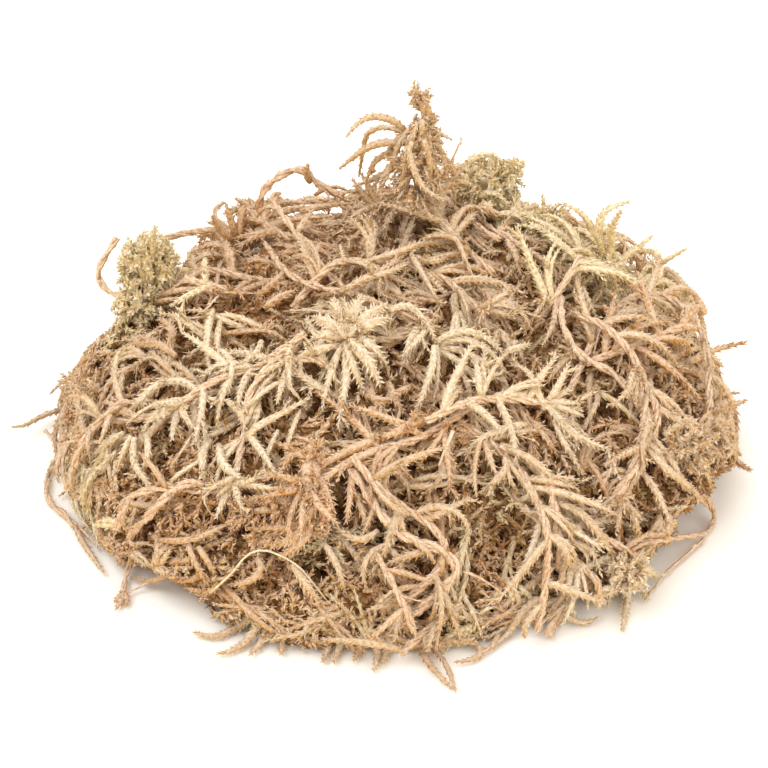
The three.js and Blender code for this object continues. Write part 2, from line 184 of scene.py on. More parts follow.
def seen(across, down, height):
    """The point that shows at this place of the 768 by 768 view, this high over the mound. Beside
    the mound it is the point of the view's ray that comes nearest to that height."""
    points = EYE + view_ray(across, down) * RAY_STEPS
    away = points - FOCUS
    distance = np.linalg.norm(away, axis=1)
    over = distance - heart_reach(away / distance[:, None]) - height
    over = np.where(points[:, 2] > LOWEST_SEEN, over, 1e6)
    inside = np.flatnonzero(over <= 0)
    return points[inside[0] if len(inside) else int(np.argmin(over))]


def standing(across, down, depth):
    """The point that shows at this place of the view and lies this far back."""
    ray = view_ray(across, down)
    return EYE + ray * ((depth - EYE[1]) / ray[1])


def in_view(points):
    """Where points show in the view."""
    away = np.asarray(points, float) - EYE
    far = away @ FORWARD
    return HALF + HALF / SLOPE * (away @ RIGHT) / far, HALF - HALF / SLOPE * (away @ UPWARD) / far


print("middle of the view:", [round(float(c), 1) for c in seen(HALF, HALF, 6)])

# %% The heap's outline and its deep gaps
# the outline without its stray ends, clockwise from the top
BULK = read_places("""
    402,145 428,132 446,150 470,158 508,160 520,178 522,202 560,214 600,222 640,240 672,268 698,298
    706,338 722,365 732,400 736,440 734,466 712,476 708,494 676,514 670,540 648,556 642,590 600,604
    572,625 530,640 482,642 450,652 415,655 380,664 330,652 290,642 240,636 215,615 190,586 150,568
    122,560 95,540 70,510 55,480 58,440 54,410 64,380 95,345 130,315 170,296 186,262 205,232 222,203
    262,194 300,200 345,172 382,158
""")
BULK_MIDDLE = [390.0, 400.0]  # the outline grows away from here


def in_bulk(points, margin):
    """Which points show within the outline, grown by a margin in view pixels."""
    x, y = (place[..., None] for place in in_view(points))
    corners = np.array(BULK, float)
    corners = corners + unit(corners - BULK_MIDDLE) * margin
    after = np.roll(corners, -1, axis=0)
    spans = (corners[:, 1] > y) != (after[:, 1] > y)
    slope = (after[:, 0] - corners[:, 0]) / (after[:, 1] - corners[:, 1] + 1e-9)
    left_of = x < corners[:, 0] + slope * (y - corners[:, 1])
    return (spans & left_of).sum(-1) % 2 == 1


def within_bulk(line, margin):
    return bool(in_bulk(line, margin).all())


# deep gaps between the strands, where one looks far into the clump
HOLLOWS = read_places("""
    570,487 578,432 560,425 287,370 266,347 174,402 295,492 322,574 392,471 345,512 378,290 506,536
    541,545 652,336 408,212 470,262 196,322 172,468 604,408 432,372 520,318 235,330 120,400 365,556
    610,500 455,600 300,300 560,300 480,390 250,520 640,470 150,520 690,380 330,400
""")
hollow_spots = np.array([seen(x, y, 1.0) for x, y in HOLLOWS])
hollow_sizes = np.array([2.6 if n % 3 else 3.6 for n in range(len(HOLLOWS))])  # every third is wide


def hollowed(points):
    """From 0 to 1: how far points lie in one of the deep gaps."""
    points = np.asarray(points)
    apart = np.linalg.norm(points[..., None, :] - hollow_spots, axis=-1) / hollow_sizes
    return np.exp(-(apart**2)).max(-1)


print("outline corners:", len(BULK), "deep gaps:", len(HOLLOWS))

# %% [markdown]
# ## Laying the plants
# Beads fill whatever already lies there. A new plant's stem takes the least height that clears them,
# spanning hollows like a stiff straw, and its twigs are held clear in the same way. These are the
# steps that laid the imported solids, so the fine plants come to lie exactly where those are.

# %% Repeatable draws
def random_stream(seed):
    """A stream of repeatable random numbers from 0 to 1."""
    state = seed & 0xFFFFFFFF

    def draw():
        nonlocal state
        state = (state + 0x6D2B79F5) & 0xFFFFFFFF
        t = state
        t = ((t ^ (t >> 15)) * (t | 1)) & 0xFFFFFFFF
        t ^= (t + (((t ^ (t >> 7)) * (t | 61)) & 0xFFFFFFFF)) & 0xFFFFFFFF
        return ((t ^ (t >> 14)) & 0xFFFFFFFF) / 4294967296

    return draw


def between(draw, low, high):
    return low + (high - low) * draw()


print("first draws of seed 41:", [round(v, 4) for v in map(lambda d: d(), [random_stream(41)] * 3)])

# %% Beads
beads = np.zeros((0, 5))  # x, y and z from FOCUS, radius, and squared distance from FOCUS


def add_beads(points, radii):
    """Fills a line of points with beads."""
    global beads
    rows = []
    for i in range(len(points) - 1):
        span = points[i + 1] - points[i]
        spacing = max(0.5, 0.8 * min(radii[i], radii[i + 1] + 0.4))
        steps = max(1, math.ceil(np.linalg.norm(span) / spacing))
        for k in range(steps):
            place = points[i] + span * (k / steps) - FOCUS
            radius = radii[i] + (radii[i + 1] - radii[i]) * (k / steps)
            rows.append([*place, radius, place @ place])
    beads = np.vstack([beads, rows])


def clear_distance(ray, radius):
    """The least distance along a ray at which a bead of this radius clears all that lies."""
    along = beads[:, :3] @ ray
    reach = radius + beads[:, 3] + GAP
    aside = beads[:, 4] - along**2
    near = (along > 0) & (aside < reach**2)
    resting = along[near] + np.sqrt(reach[near] ** 2 - aside[near])
    return max(float(heart_reach(ray)) + radius + GAP, resting.max(initial=0.0))


# %% The shoots of the mat
MAT_SHOOTS = 162
MAT_RADIUS = 2.3


def mat_shoot(spot, draw):
    """The root, middle and tip of one arched shoot that stands out of the mound."""
    ray = unit(spot - FOCUS)
    level = unit(np.array([-ray[1], ray[0], 0.0]))
    downhill = np.cross(level, ray)
    heading = between(draw, -1, 1) * (0.9 + 1.3 * spot[2] / HEART[2])
    length = 28 + between(draw, -1, 1) * 6
    room = max(0.0, spot[2] - MAT_RADIUS) / (length * abs(downhill[2]) + GAP)
    down = min(math.cos(heading), room)
    way = downhill * down + level * math.copysign(math.sqrt(1 - down * down), heading)
    rises = [-3, 3.6, 5 * between(draw, 0.3, 1.3)]
    points = []
    for k, rise in enumerate(rises):
        aim = unit(FOCUS + ray * heart_reach(ray) + way * (length * k / 2) - FOCUS)
        point = FOCUS + aim * (heart_reach(aim) + rise)
        point[2] = max(point[2], MAT_RADIUS + GAP)
        points.append(point)
    return points


mat_draw = random_stream(41)
mat_shoots = []
for n in range(MAT_SHOOTS):
    spot = dome_spot((n + 0.5) / MAT_SHOOTS, 1.25, n * GOLDEN_ANGLE)
    mat_shoots.append(mat_shoot(spot, mat_draw))
for shoot in mat_shoots:
    add_beads(shoot, [0.8 * MAT_RADIUS, MAT_RADIUS, 0.0])
print("mat shoots:", len(mat_shoots), "beads:", len(beads))

# %% [markdown]
# ## The named plants' routes
# Each plant has a name, a kind, a tone and a route from its old end to its growing end. A route's
# points are places on the plan in millimetres, with how far the stem is held off what it lies on
# there.

# %% Kinds and routes
KINDS = {
    "leafy": dict(radius=1.4, rings=9, twigs=5, twig_length=14, head_twigs=5, head_length=10),
    "bare": dict(radius=1.0, rings=11, twigs=3, twig_length=8, head_twigs=3, head_length=6),
    "tuft": dict(radius=1.5, rings=6, twigs=3, twig_length=11, head_twigs=10, head_length=12),
    "spray": dict(radius=1.5, rings=7, twigs=6, twig_length=16, head_twigs=5, head_length=14),
    "fibre": dict(radius=0.5, rings=12, twigs=0, twig_length=0, head_twigs=0, head_length=0),
}
PLANTS = [
    ("front_spray", "spray", "straw",
     [(14, -71, 0), (2, -74, 0), (-12, -74, 0), (-24, -72, 1), (-33, -70, 2)]),
    ("right_foot_head", "leafy", "cream", [(24, -54, 0), (31, -59, 0), (37, -61, 0), (42, -62, 3)]),
    ("left_tail", "bare", "tan",
     [(-22, -54, 0), (-32, -55, 0), (-41, -52, 0), (-49, -50, 3), (-54, -54, 2), (-56, -58, 0)]),
    ("right_arc", "leafy", "straw",
     [(40, -32, 0), (46, -14, 0), (54, 0, 3), (61, 0, 5), (65, -12, 3), (66, -26, 1)]),
    ("left_reach", "leafy", "straw",
     [(-42, -37, 0), (-52, -34, 0), (-61, -30, 1), (-68, -26, 3), (-73, -23, 6)]),
    ("left_droop", "bare", "straw",
     [(-52, -30, 0), (-59, -32, 1), (-65, -36, 2), (-67, -43, 2), (-62, -50, 1), (-57, -56, 0)]),
    ("right_loop", "bare", "tan",
     [(40, -57, 0), (48, -56, 2), (57, -51, 4), (63, -43, 5), (63, -34, 3), (56, -29, 0)]),
    ("back_left_fan", "spray", "tan", [(-18, 34, 0), (-32, 38, 0), (-46, 42, 1), (-58, 40, 4)]),
    ("back_arch", "leafy", "straw",
     [(22, 60, 0), (8, 62, 0), (-8, 60, 0), (-22, 58, 2), (-34, 60, 3)]),
    ("back_right_fan", "spray", "tan", [(30, 24, 0), (42, 34, 0), (54, 40, 1), (64, 44, 4)]),
    ("back_trail", "leafy", "tan", [(4, 28, 0), (2, 42, 0), (6, 54, 0), (11, 62, 1), (18, 67, 2)]),
    ("east_trail", "leafy", "olive", [(42, 6, 0), (52, 13, 0), (60, 19, 1), (65, 25, 3)]),
    ("right_spike", "spray", "russet", [(42, -26, 0), (52, -18, 0), (60, -10, 1), (64, -1, 3)]),
    ("left_fern", "leafy", "tan",
     [(-24, -2, 0), (-35, 3, 0), (-45, 6, 0), (-54, 6, 1), (-60, 10, 3)]),
    ("pale_arch", "leafy", "cream",
     [(-12, -47, 0), (-12, -37, 1), (-19, -33, 2), (-27, -37, 1), (-31, -46, 0), (-31, -55, 0)]),
    ("left_head", "leafy", "cream", [(-18, -28, 0), (-26, -32, 0), (-34, -34, 1), (-42, -39, 2)]),
    ("right_fall", "leafy", "straw",
     [(14, -45, 0), (22, -49, 1), (28, -54, 1), (30, -60, 1), (30, -66, 1), (26, -71, 0)]),
    ("russet_branch", "spray", "russet",
     [(17, -42, 0), (7, -49, 1), (-2, -52, 1), (-11, -54, 1), (-18, -58, 2)]),
    ("middle_fall", "leafy", "straw",
     [(-8, -54, 1), (-3, -59, 1), (3, -62, 1), (10, -65, 2), (9, -69, 1), (1, -72, 0)]),
    ("front_tail", "bare", "tan", [(-4, -67, 0), (1, -71, 0), (5, -74, 1), (9, -78, 0)]),
    ("right_curve", "leafy", "straw",
     [(40, -16, 0), (48, -24, 1), (53, -34, 1), (51, -44, 1), (45, -52, 0)]),
    ("right_fan", "leafy", "cream", [(7, -47, 1), (15, -43, 2), (24, -40, 2), (33, -39, 2)]),
    ("star_head", "tuft", "cream", [(10, -24, 0), (3, -26, 1), (-4, -27, 3), (-7, -28, 7)]),
    ("upper_rope", "leafy", "straw",
     [(30, 2, 0), (24, 10, 0), (16, 17, 0), (8, 22, 1), (-4, 22, 1)]),
    ("west_rise", "tuft", "tan", [(-24, 16, 0), (-29, 21, 0), (-34, 27, 1), (-38, 32, 2)]),
    ("left_loop", "bare", "tan",
     [(8, -24, 0), (-4, -18, 0), (-13, -9, 0), (-20, 5, 1), (-26, 20, 5), (-22, 32, 7),
      (-13, 36, 5), (-6, 32, 1)]),
    ("left_tuft", "tuft", "olive", [(-36, -6, 0), (-44, -2, 2), (-51, 4, 4), (-53, 11, 8)]),
    ("grass_tuft", "spray", "olive", [(34, -14, 0), (38, -4, 1), (41, 6, 4), (44, 13, 10)]),
    ("crown_spike", "spray", "straw",
     [(23, -2, 1), (15, 6, 2), (9, 12, 6), (7, 15, 14), (3, 16, 24)]),
    ("crown_side_head", "tuft", "olive", [(20, 17, 0), (25, 21, 0), (30, 25, 1), (34, 27, 3)]),
    ("brow_arch", "leafy", "straw",
     [(-22, -16, 0), (-12, -8, 1), (0, -4, 1), (12, -8, 1), (20, -18, 0)]),
    ("white_fibre", "fibre", "fibre",
     [(-38, -60, 0), (-32, -62, 3), (-25, -61, 5), (-18, -63, 3), (-12, -68, 0)]),
]
print("named plants:", len(PLANTS))


# %% A stem laid on what lies there
def along_route(route, t):
    """The point at t, from 0 to 1, on a smooth curve through all the route's points."""
    place = min(t, 0.999999) * (len(route) - 1)
    i = math.floor(place)
    f = place - i
    spots = [np.array(route[max(0, min(len(route) - 1, k))], float) for k in range(i - 1, i + 3)]
    a, b, c, d = spots
    square = 2 * a - 5 * b + 4 * c - d
    cube = 3 * b - a - 3 * c + d
    return 0.5 * (2 * b + (c - a) * f + square * f * f + cube * f**3)


def ray_to(x, y):
    """The ray from FOCUS to a place on the plan."""
    out = (x / SHELL[0]) ** 2 + (y / SHELL[1]) ** 2
    return unit(np.array([x, y, SHELL[2] * math.sqrt(max(0.0, 1 - out))]) - FOCUS)


def lay_stem(route, kind):
    dense = 4 * (kind["rings"] - 1)
    rays, needed, lifts = [], [], []
    for k in range(dense + 1):
        x, y, lift = along_route(route, k / dense)
        ray = ray_to(x, y)
        over_table = (kind["radius"] + GAP - FOCUS[2]) / ray[2]
        rays.append(ray)
        needed.append(max(clear_distance(ray, kind["radius"]), over_table))
        lifts.append(lift)
    held = [needed[4 * i] for i in range(kind["rings"])]
    for _ in range(30):
        for i in range(1, kind["rings"] - 1):
            held[i] = max(held[i], (held[i - 1] + held[i + 1]) / 2 - 0.5)
        for k in range(dense + 1):
            i = min(k // 4, kind["rings"] - 2)
            f = k / 4 - i
            short = needed[k] - (held[i] * (1 - f) + held[i + 1] * f)
            if short > 0:
                held[i] += short
                held[i + 1] += short
    return [FOCUS + rays[4 * i] * (d + max(0.0, lifts[4 * i])) for i, d in enumerate(held)]


# %% The twigs of a stem
def frame_at(stem, place):
    """A place on a stem, with the ways along it, outwards from the mound and sideways."""
    i = min(math.floor(place), len(stem) - 2)
    root = stem[i] + (stem[i + 1] - stem[i]) * (place - i)
    along = unit(stem[i + 1] - stem[i])
    out = unit(root - FOCUS)
    return root, along, out, unit(np.cross(along, out))


def twig_starts(stem, kind, draw):
    starts = []
    last = len(stem) - 1
    for n in range(kind["twigs"]):
        place = last * (0.12 + (0.78 * (n + 0.5 * draw())) / kind["twigs"])
        root, along, out, side = frame_at(stem, place)
        way = side * ((1 if n % 2 else -1) * between(draw, 0.7, 1))
        way = way + along * between(draw, 0.15, 0.8)
        way = unit(way + out * between(draw, 0, 0.45))
        bend = out * -between(draw, 0.05, 0.35)
        bend = bend + along * between(draw, -0.2, 0.3)
        starts.append((root, way, bend, kind["twig_length"] * between(draw, 0.75, 1.15)))
    for n in range(kind["head_twigs"]):
        root, along, out, side = frame_at(stem, last - 0.08 - 0.35 * draw())
        turn = (n + 0.35 * draw()) * GOLDEN_ANGLE
        opened = 0.25 + (1.15 * (n + 0.5)) / kind["head_twigs"]
        way = along * math.cos(opened) + side * (math.sin(opened) * math.cos(turn))
        way = unit(way + out * (abs(math.sin(opened) * math.sin(turn)) * 0.9 + 0.1))
        bend = along * -between(draw, 0, 0.25)
        bend = bend + out * -between(draw, 0, 0.3)
        starts.append((root, way, bend, kind["head_length"] * between(draw, 0.8, 1.1)))
    return starts


def shortfall(place):
    """How much too near the mound or another plant a twig's point is."""
    ray = place - FOCUS
    distance = np.linalg.norm(ray)
    return max(0.0, clear_distance(ray / distance, 1.0) - distance)


def twig_line(root, way, bend, length):
    """A twig's root, middle and tip, or None where it finds no room."""
    halfway = root + way * (length * 0.5) + bend * (length * 0.25)
    line = [root, halfway, root + way * length + bend * length]
    pushed = 0.0
    for _ in range(3):
        for k in (1, 2):
            line[k] = np.array([*line[k][:2], max(line[k][2], 1.0 + GAP)])
        middle, tip = shortfall(line[1]), shortfall(line[2])
        line[1] = line[1] + unit(line[1] - FOCUS) * middle
        line[2] = line[2] + unit(line[2] - FOCUS) * tip
        inner = shortfall(line[0] + (line[1] - line[0]) * 0.55)
        line[1] = line[1] + unit(line[1] - FOCUS) * (inner * 1.8)
        outer = shortfall(line[1] + (line[2] - line[1]) * 0.5)
        line[1] = line[1] + unit(line[1] - FOCUS) * outer
        line[2] = line[2] + unit(line[2] - FOCUS) * outer
        pushed += middle + inner + outer
    stretched = np.linalg.norm(line[2] - line[0]) > 1.3 * length
    return None if stretched or pushed > 0.45 * length else line


# %% Lay all the named plants
def corners_of(name):
    """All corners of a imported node, in millimetres."""
    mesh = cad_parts[name].data
    places = np.zeros(len(mesh.vertices) * 3)
    mesh.vertices.foreach_get("co", places)
    return places.reshape(-1, 3) * 1000


def sink_of(name, stem, radii, twigs):
    """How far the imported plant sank, in 0.15 mm steps, until it all but touched."""
    down = unit(FOCUS - stem[len(stem) // 2])
    spots = np.array(stem + [line[2] for line in twigs])
    round_them = np.array(list(radii) + [0.0] * len(twigs))
    corners = corners_of(name)
    misses = []
    for k in range(21):
        apart = np.linalg.norm((spots + down * (0.15 * k))[:, None] - corners[None], axis=2)
        misses.append(np.median(np.abs(apart - round_them[:, None]).min(axis=1)))
    best = int(np.argmin(misses))
    return down * (0.15 * best), misses[best]


laid_plants = {}
worst_miss = 0.0
for index, (name, kind_name, tone, route) in enumerate(PLANTS):
    kind = KINDS[kind_name]
    draw = random_stream(1000 + 77 * index)
    stem = lay_stem(route, kind)
    shares = [i / (len(stem) - 1) for i in range(len(stem))]
    radii = [kind["radius"] * (0.55 + 0.45 * min(1, 3 * share)) for share in shares]
    lines = [twig_line(*start) for start in twig_starts(stem, kind, draw)]
    twigs = [line for line in lines if line is not None]
    sink, miss = sink_of(name, stem, radii, twigs)
    stem = [point + sink for point in stem]
    twigs = [[point + sink for point in line] for line in twigs]
    add_beads(stem, radii)
    for line in twigs:
        add_beads(line, [0.55, 1.0, 0.0])
    laid_plants[name] = (kind_name, tone, stem, twigs)
    worst_miss = max(worst_miss, miss)
print("plants laid:", len(laid_plants), "worst miss from the packed solids, mm:", round(worst_miss, 3))

# %% [markdown]
# ## One leaf
# A sphagnum leaf is a tiny boat-shaped scale, 1 to 2 mm long and keeled along its back. A cone with
# three sides has just that form once it is pressed flat: a keel, two faces, a point, and a closed
# base that hides in the twig. Hundreds of thousands are needed, so four faces must do.

# %% The leaf
# The last mark says how deep a corner lies in the clump. The finish paints it brown: partly the clump's
# own browner inside, partly painted shade.
LAYERS = ("leaf_tip", "stem", "shade", "deep_brown_and_shade")


def new_shape():
    """An empty shape whose corners carry the marks that the finishes read."""
    shape = bmesh.new()
    for layer in LAYERS:
        shape.verts.layers.float.new(layer)
    return shape


leaf_shape = new_shape()
bmesh.ops.create_cone(leaf_shape, cap_ends=True, segments=3, radius1=1, radius2=0, depth=1)
bmesh.ops.rotate(leaf_shape, matrix=Matrix.Rotation(-math.pi / 2, 3, "Z"), verts=leaf_shape.verts)
bmesh.ops.translate(leaf_shape, vec=(0, 0, 0.5), verts=leaf_shape.verts)
for corner in leaf_shape.verts:
    corner[leaf_shape.verts.layers.float["leaf_tip"]] = corner.co.z
leaf = bpy.data.meshes.new("leaf")
leaf_shape.to_mesh(leaf)
leaf_shape.free()
print("leaf faces:", len(leaf.polygons))

# %% [markdown]
# ## The kinds of twig
# Leaves sit on a twig in five rows, so each is turned 144 degrees from the last. How far they lean
# out makes the kind: wide open on the young arms of a head, half open on side twigs, nearly shut on
# hanging twigs and on the bark of a stem. Sprigs and tips are the short, bushy ends that fill the
# cushions and stand off the leafy twigs. Each kind is made in several lengths, straight up, and
# bent into place later, so that the leaves keep their size.

# %% Make the twigs
LEAF_TURN = 2.513  # 144 degrees
# The core gets less of the tips' pale colour, so it shows darker between the leaves as painted shade.
CORE_MARK = 0.45  # a twig's core is half as bleached as its leaves' tips
TWIGS = {
    # lean in degrees, leaf length, leaf half width, pitch along the twig, core radius, the core's
    # sides, and the lengths in which it is made
    "feathery": (42, 1.2, 0.4, 0.26, 0.86, 6, (5, 8, 12, 17)),
    "slim": (36, 1.15, 0.38, 0.31, 0.8, 6, (8, 12, 17, 23)),
    "pressed": (29, 1.1, 0.38, 0.36, 0.68, 5, (8, 12, 17)),
    "coarse": (38, 1.25, 0.42, 0.5, 0.8, 5, (6, 11, 17, 24)),
    "sprig": (50, 1.2, 0.58, 0.4, 0.58, 3, (3, 5, 7)),
    "tip": (46, 1.15, 0.52, 0.4, 0.55, 3, (2.6,)),
    "bark": (17, 1.35, 0.36, 0.5, 0.52, 5, (14,)),
    "wiry": (16, 1.1, 0.2, 1.2, 0.26, 4, (8, 13)),
    "body": (10, 1.0, 0.4, 0.9, 1.0, 8, (5, 12)),
    "hair": (2, 0.5, 0.2, 30, 0.34, 8, (38,)),
}


def swell(kind, share):
    """How thick a twig is at this share of its length: full near the root, then down to a point."""
    if kind == "bark":
        return 1.0
    if kind in ("hair", "wiry"):
        return 1.0 - 0.4 * share
    return (0.66 + 0.34 * min(1.0, share / 0.25)) * (1 - 0.82 * share**2.4)


def make_twig(kind, length, lean, long, wide, pitch, core, sides):
    """A straight twig along Z, from 0 to its length, clad in leaves."""
    chance = np.random.default_rng(int(length * 10 + lean))
    shape = new_shape()
    bmesh.ops.create_cone(shape, cap_ends=True, segments=sides, radius1=core, radius2=core, depth=length)
    lengthwise = [e for e in shape.edges if abs(e.verts[0].co.z - e.verts[1].co.z) > length / 2]
    bmesh.ops.subdivide_edges(shape, edges=lengthwise, cuts=max(1, round(length / 2.2)))
    bmesh.ops.translate(shape, vec=(0, 0, length / 2), verts=shape.verts)
    for corner in shape.verts:
        rough = swell(kind, corner.co.z / length) * chance.uniform(0.9, 1.1)
        corner.co.x *= rough
        corner.co.y *= rough
        corner[shape.verts.layers.float["leaf_tip"]] = CORE_MARK
    for face in shape.faces:
        face.smooth = True
    z = 0.2
    k = 0
    while z < length + 0.1:
        full = swell(kind, min(1.0, z / length))
        size = (0.6 + 0.4 * full) * chance.uniform(0.8, 1.15)
        turn = Matrix.Rotation(k * LEAF_TURN + chance.uniform(-0.3, 0.3), 4, "Z")
        tilt = math.radians(lean * (0.6 + 0.4 * full) + chance.uniform(-9, 9))
        form = Matrix.Diagonal((0.2, wide * size, long * size, 1))
        place = Matrix.Translation((0, 0, z)) @ turn @ Matrix.Translation((core * full * 0.76, 0, 0))
        place = place @ Matrix.Rotation(tilt, 4, "Y") @ form
        shape.from_mesh(leaf)
        shape.verts.ensure_lookup_table()
        bmesh.ops.transform(shape, matrix=place, verts=shape.verts[-4:])
        z += pitch * (1 if kind == "bark" else 1.25 - 0.45 * z / length)
        k += 1
    if kind in ("bark", "wiry", "hair"):
        for corner in shape.verts:
            corner[shape.verts.layers.float["stem"]] = 1.0
    mesh = bpy.data.meshes.new(f"{kind}_{length}")
    shape.to_mesh(mesh)
    shape.free()
    corners = np.zeros(len(mesh.vertices) * 3)
    mesh.vertices.foreach_get("co", corners)
    return length, mesh, corners.reshape(-1, 3)


twigs_made = {}
for kind, (*values, lengths) in TWIGS.items():
    twigs_made[kind] = [make_twig(kind, length, *values) for length in lengths]
    print(kind, "faces:", [len(mesh.polygons) for _, mesh, _ in twigs_made[kind]])

# %% [markdown]
# ## Bending a twig into place
# A straight twig follows a curve when each of its corners is carried to the curve's point at the
# same share of the length, and set off sideways in that point's own two cross directions. The cross
# directions are carried along the curve without twist.

# %% Record a twig
LAID = {}  # piece name: the twigs that make it up
COARSE_FROM = 0.41  # twigs that lie deeper than this get coarse leaves
HOLLOW_EDGE = 0.5  # the tangle leaves the hollows open from here on
STOUT = 1.35  # twigs from this width on stay without a fringe
FRINGE_SPACING = 8  # mm along the twig
FRINGE_LENGTH = 2.8  # mm
fringe_chance = np.random.default_rng(31)


def trimmed(line, margin):
    """As much of a line from its root as shows within the heap's outline, or None."""
    for share in (1.0, 0.72, 0.5, 0.35):
        part = line[: max(3, round(len(line) * share))]
        if within_bulk(part, margin):
            return part
    return None


def lay_twig(piece, kind, line, width, shade, turn=0.0, free=False):
    """Records a twig. Unless it is free, it is cut where it leaves the heap's outline. One that lies
    deep gets coarser leaves, because little of it shows."""
    line = np.asarray(line, float)
    if not free:
        line = trimmed(line, (len(LAID.get(piece, [])) % 3) * 2.0)
        if line is None:
            return
        if piece.startswith("tangle") and len(line) > 4 and hollowed(line[1:]).max() > HOLLOW_EDGE:
            return
    if kind in ("feathery", "slim", "pressed") and deepness(line).mean() > COARSE_FROM:
        kind = "coarse"
    LAID.setdefault(piece, []).append((kind, line, width, shade, turn))
    if kind in ("feathery", "slim") and width < STOUT:
        lay_fringe(piece, line, width, shade)


def lay_loose(piece, kind, line, widths, shade, shades, chance):
    """Records a twig whose width, shade and turn are left to chance."""
    width = chance.uniform(*widths)
    shade = shade + chance.uniform(*shades)
    lay_twig(piece, kind, line, width, shade, chance.uniform(0, 6))


def lay_fringe(piece, line, width, shade):
    """Young twig tips that stand off a leafy twig."""
    run = np.linalg.norm(np.diff(line, axis=0), axis=1).sum()
    along, first, second = cross_ways(line)
    for _ in range(int(run / FRINGE_SPACING + fringe_chance.random())):
        i = fringe_chance.integers(1, len(line))
        turn = fringe_chance.uniform(0, 2 * math.pi)
        out = first[i] * math.cos(turn) + second[i] * math.sin(turn)
        way = unit(along[i] + out * fringe_chance.uniform(0.5, 1.4))
        t = np.linspace(0, 1, 4)[:, None]
        curve = line[i] + way * FRINGE_LENGTH * t + fringe_chance.normal(size=3) * 0.8 * t**2
        if curve[:, 2].min() > 1.0 and within_bulk(curve, -4.0):
            tuft = ("tip", curve, 0.9 * width, shade + fringe_chance.uniform(-0.2, 0.2), turn)
            LAID[piece].append(tuft)


# %% Bend a twig
def deepness(points):
    """0 for the clump's outermost twigs, up to 1 against the mound."""
    away = points - FOCUS
    distance = np.linalg.norm(away, axis=-1)
    height = distance - heart_reach(away / distance[..., None])
    return np.clip((6.5 - height) / 11, 0, 1)


def cross_ways(line, turn=0.0):
    """At each point of a line: the way along it and two ways across it."""
    along = unit(np.gradient(line, axis=0))
    start = np.cross(along[0], [0.31, 0.17, 0.93])
    across = unit(start) * math.cos(turn) + np.cross(along[0], unit(start)) * math.sin(turn)
    ways = []
    for t in along:
        across = unit(across - t * (across @ t))
        ways.append(across)
    first = np.array(ways)
    return along, first, np.cross(along, first)


def bent(kind, line, width, turn):
    """The twig of this kind whose length is nearest, bent along the line."""
    steps = np.linalg.norm(np.diff(line, axis=0), axis=1)
    total = steps.sum()
    made_length, mesh, corners = min(twigs_made[kind], key=lambda made: abs(math.log(made[0] / total)))
    along, first, second = cross_ways(line, turn)
    # How deep the twig lies drives the finish's deep brown, which is partly the clump's own browner
    # inside and partly painted shade.
    depth = deepness(line) * np.clip(line[:, 2] / 10, 0.35, 1)  # paler again near the table
    marks = np.hstack([line, along, first, second, depth[:, None]])
    shares = np.append(0, np.cumsum(steps) / total)
    wanted = corners[:, 2] / made_length
    i = np.clip(np.searchsorted(shares, wanted) - 1, 0, len(line) - 2)
    f = (np.clip(wanted, 0, 1) - shares[i]) / (shares[i + 1] - shares[i])
    here = marks[i] * (1 - f)[:, None] + marks[i + 1] * f[:, None]
    beyond = (wanted - np.clip(wanted, 0, 1)) * total
    places = here[:, 0:3] + here[:, 3:6] * beyond[:, None]
    places = places + here[:, 6:9] * (corners[:, 0:1] * width) + here[:, 9:12] * (corners[:, 1:2] * width)
    places[:, 2] += max(0.0, 0.05 - places[:, 2].min())
    return mesh, places, here[:, 12]


# %% Build a piece
def build_piece(name, material, slot, *nodes):
    """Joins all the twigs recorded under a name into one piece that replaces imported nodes."""
    whole = new_shape()
    for kind, line, width, shade, turn in LAID[name]:
        mesh, places, deep_brown_and_shade = bent(kind, line, width, turn)
        mesh.vertices.foreach_set("co", (places * 0.001).astype(np.float32).ravel())
        # How deep each corner lies, for the deep brown that is partly painted shade.
        mesh.attributes["deep_brown_and_shade"].data.foreach_set("value", deep_brown_and_shade.astype(np.float32))
        mesh.attributes["shade"].data.foreach_set("value", np.full(len(deep_brown_and_shade), shade, np.float32))
        whole.from_mesh(mesh)
    built = bpy.data.meshes.new(name)
    whole.to_mesh(built)
    whole.free()
    built.materials.append(material)
    piece = bpy.data.objects.new(name, built)
    bpy.context.scene.collection.objects.link(piece)
    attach(piece, "root")
    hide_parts(*nodes)
    built.calc_loop_triangles()
    return len(built.loop_triangles)


# %% [markdown]
# ## The finish of dry moss
# All the moss shares one finish with other colours, so the effect is one node group. Leaf tips are
# bleached and thin, and they are painted lighter still as light shining through them. Leaf bases and
# twig cores keep a darker, redder colour as painted shade between the leaves. What lies deep in the
# clump, often the roots of twigs, is brown: partly its own browner colour, partly painted shade.
# Faces turned down or sideways are painted more saturated as shade, faces turned up less saturated as
# light, and the creases between leaf cells are painted darker as shade. Stems are pinkish grey-brown.
# A slow noise gives rusty and green patches, a fine one the specks.

# %% The moss effect
def group_input(group, name, kind, value):
    socket = group.interface.new_socket(name=name, in_out="INPUT", socket_type=kind)
    socket.default_value = value


PAINTS = ("Leaf", "Bleached and lit tip", "Deep brown and shade", "Stem", "Patch")
moss = bpy.data.node_groups.new("dry_moss", "ShaderNodeTree")
for label in PAINTS:
    group_input(moss, label, "NodeSocketColor", (0.6, 0.45, 0.28, 1))
group_input(moss, "Patch amount", "NodeSocketFloat", 0.5)
moss.interface.new_socket(name="Color", in_out="OUTPUT", socket_type="NodeSocketColor")
moss.interface.new_socket(name="Height", in_out="OUTPUT", socket_type="NodeSocketFloat")
moss.interface.new_socket(name="Roughness", in_out="OUTPUT", socket_type="NodeSocketFloat")


def node(tree, kind, **values):
    """Adds a node, sets its properties, and returns it."""
    made = tree.nodes.new(kind)
    for key, value in values.items():
        setattr(made, key, value)
    return made


def mark(tree, name):
    return node(tree, "ShaderNodeAttribute", attribute_name=name).outputs["Fac"]


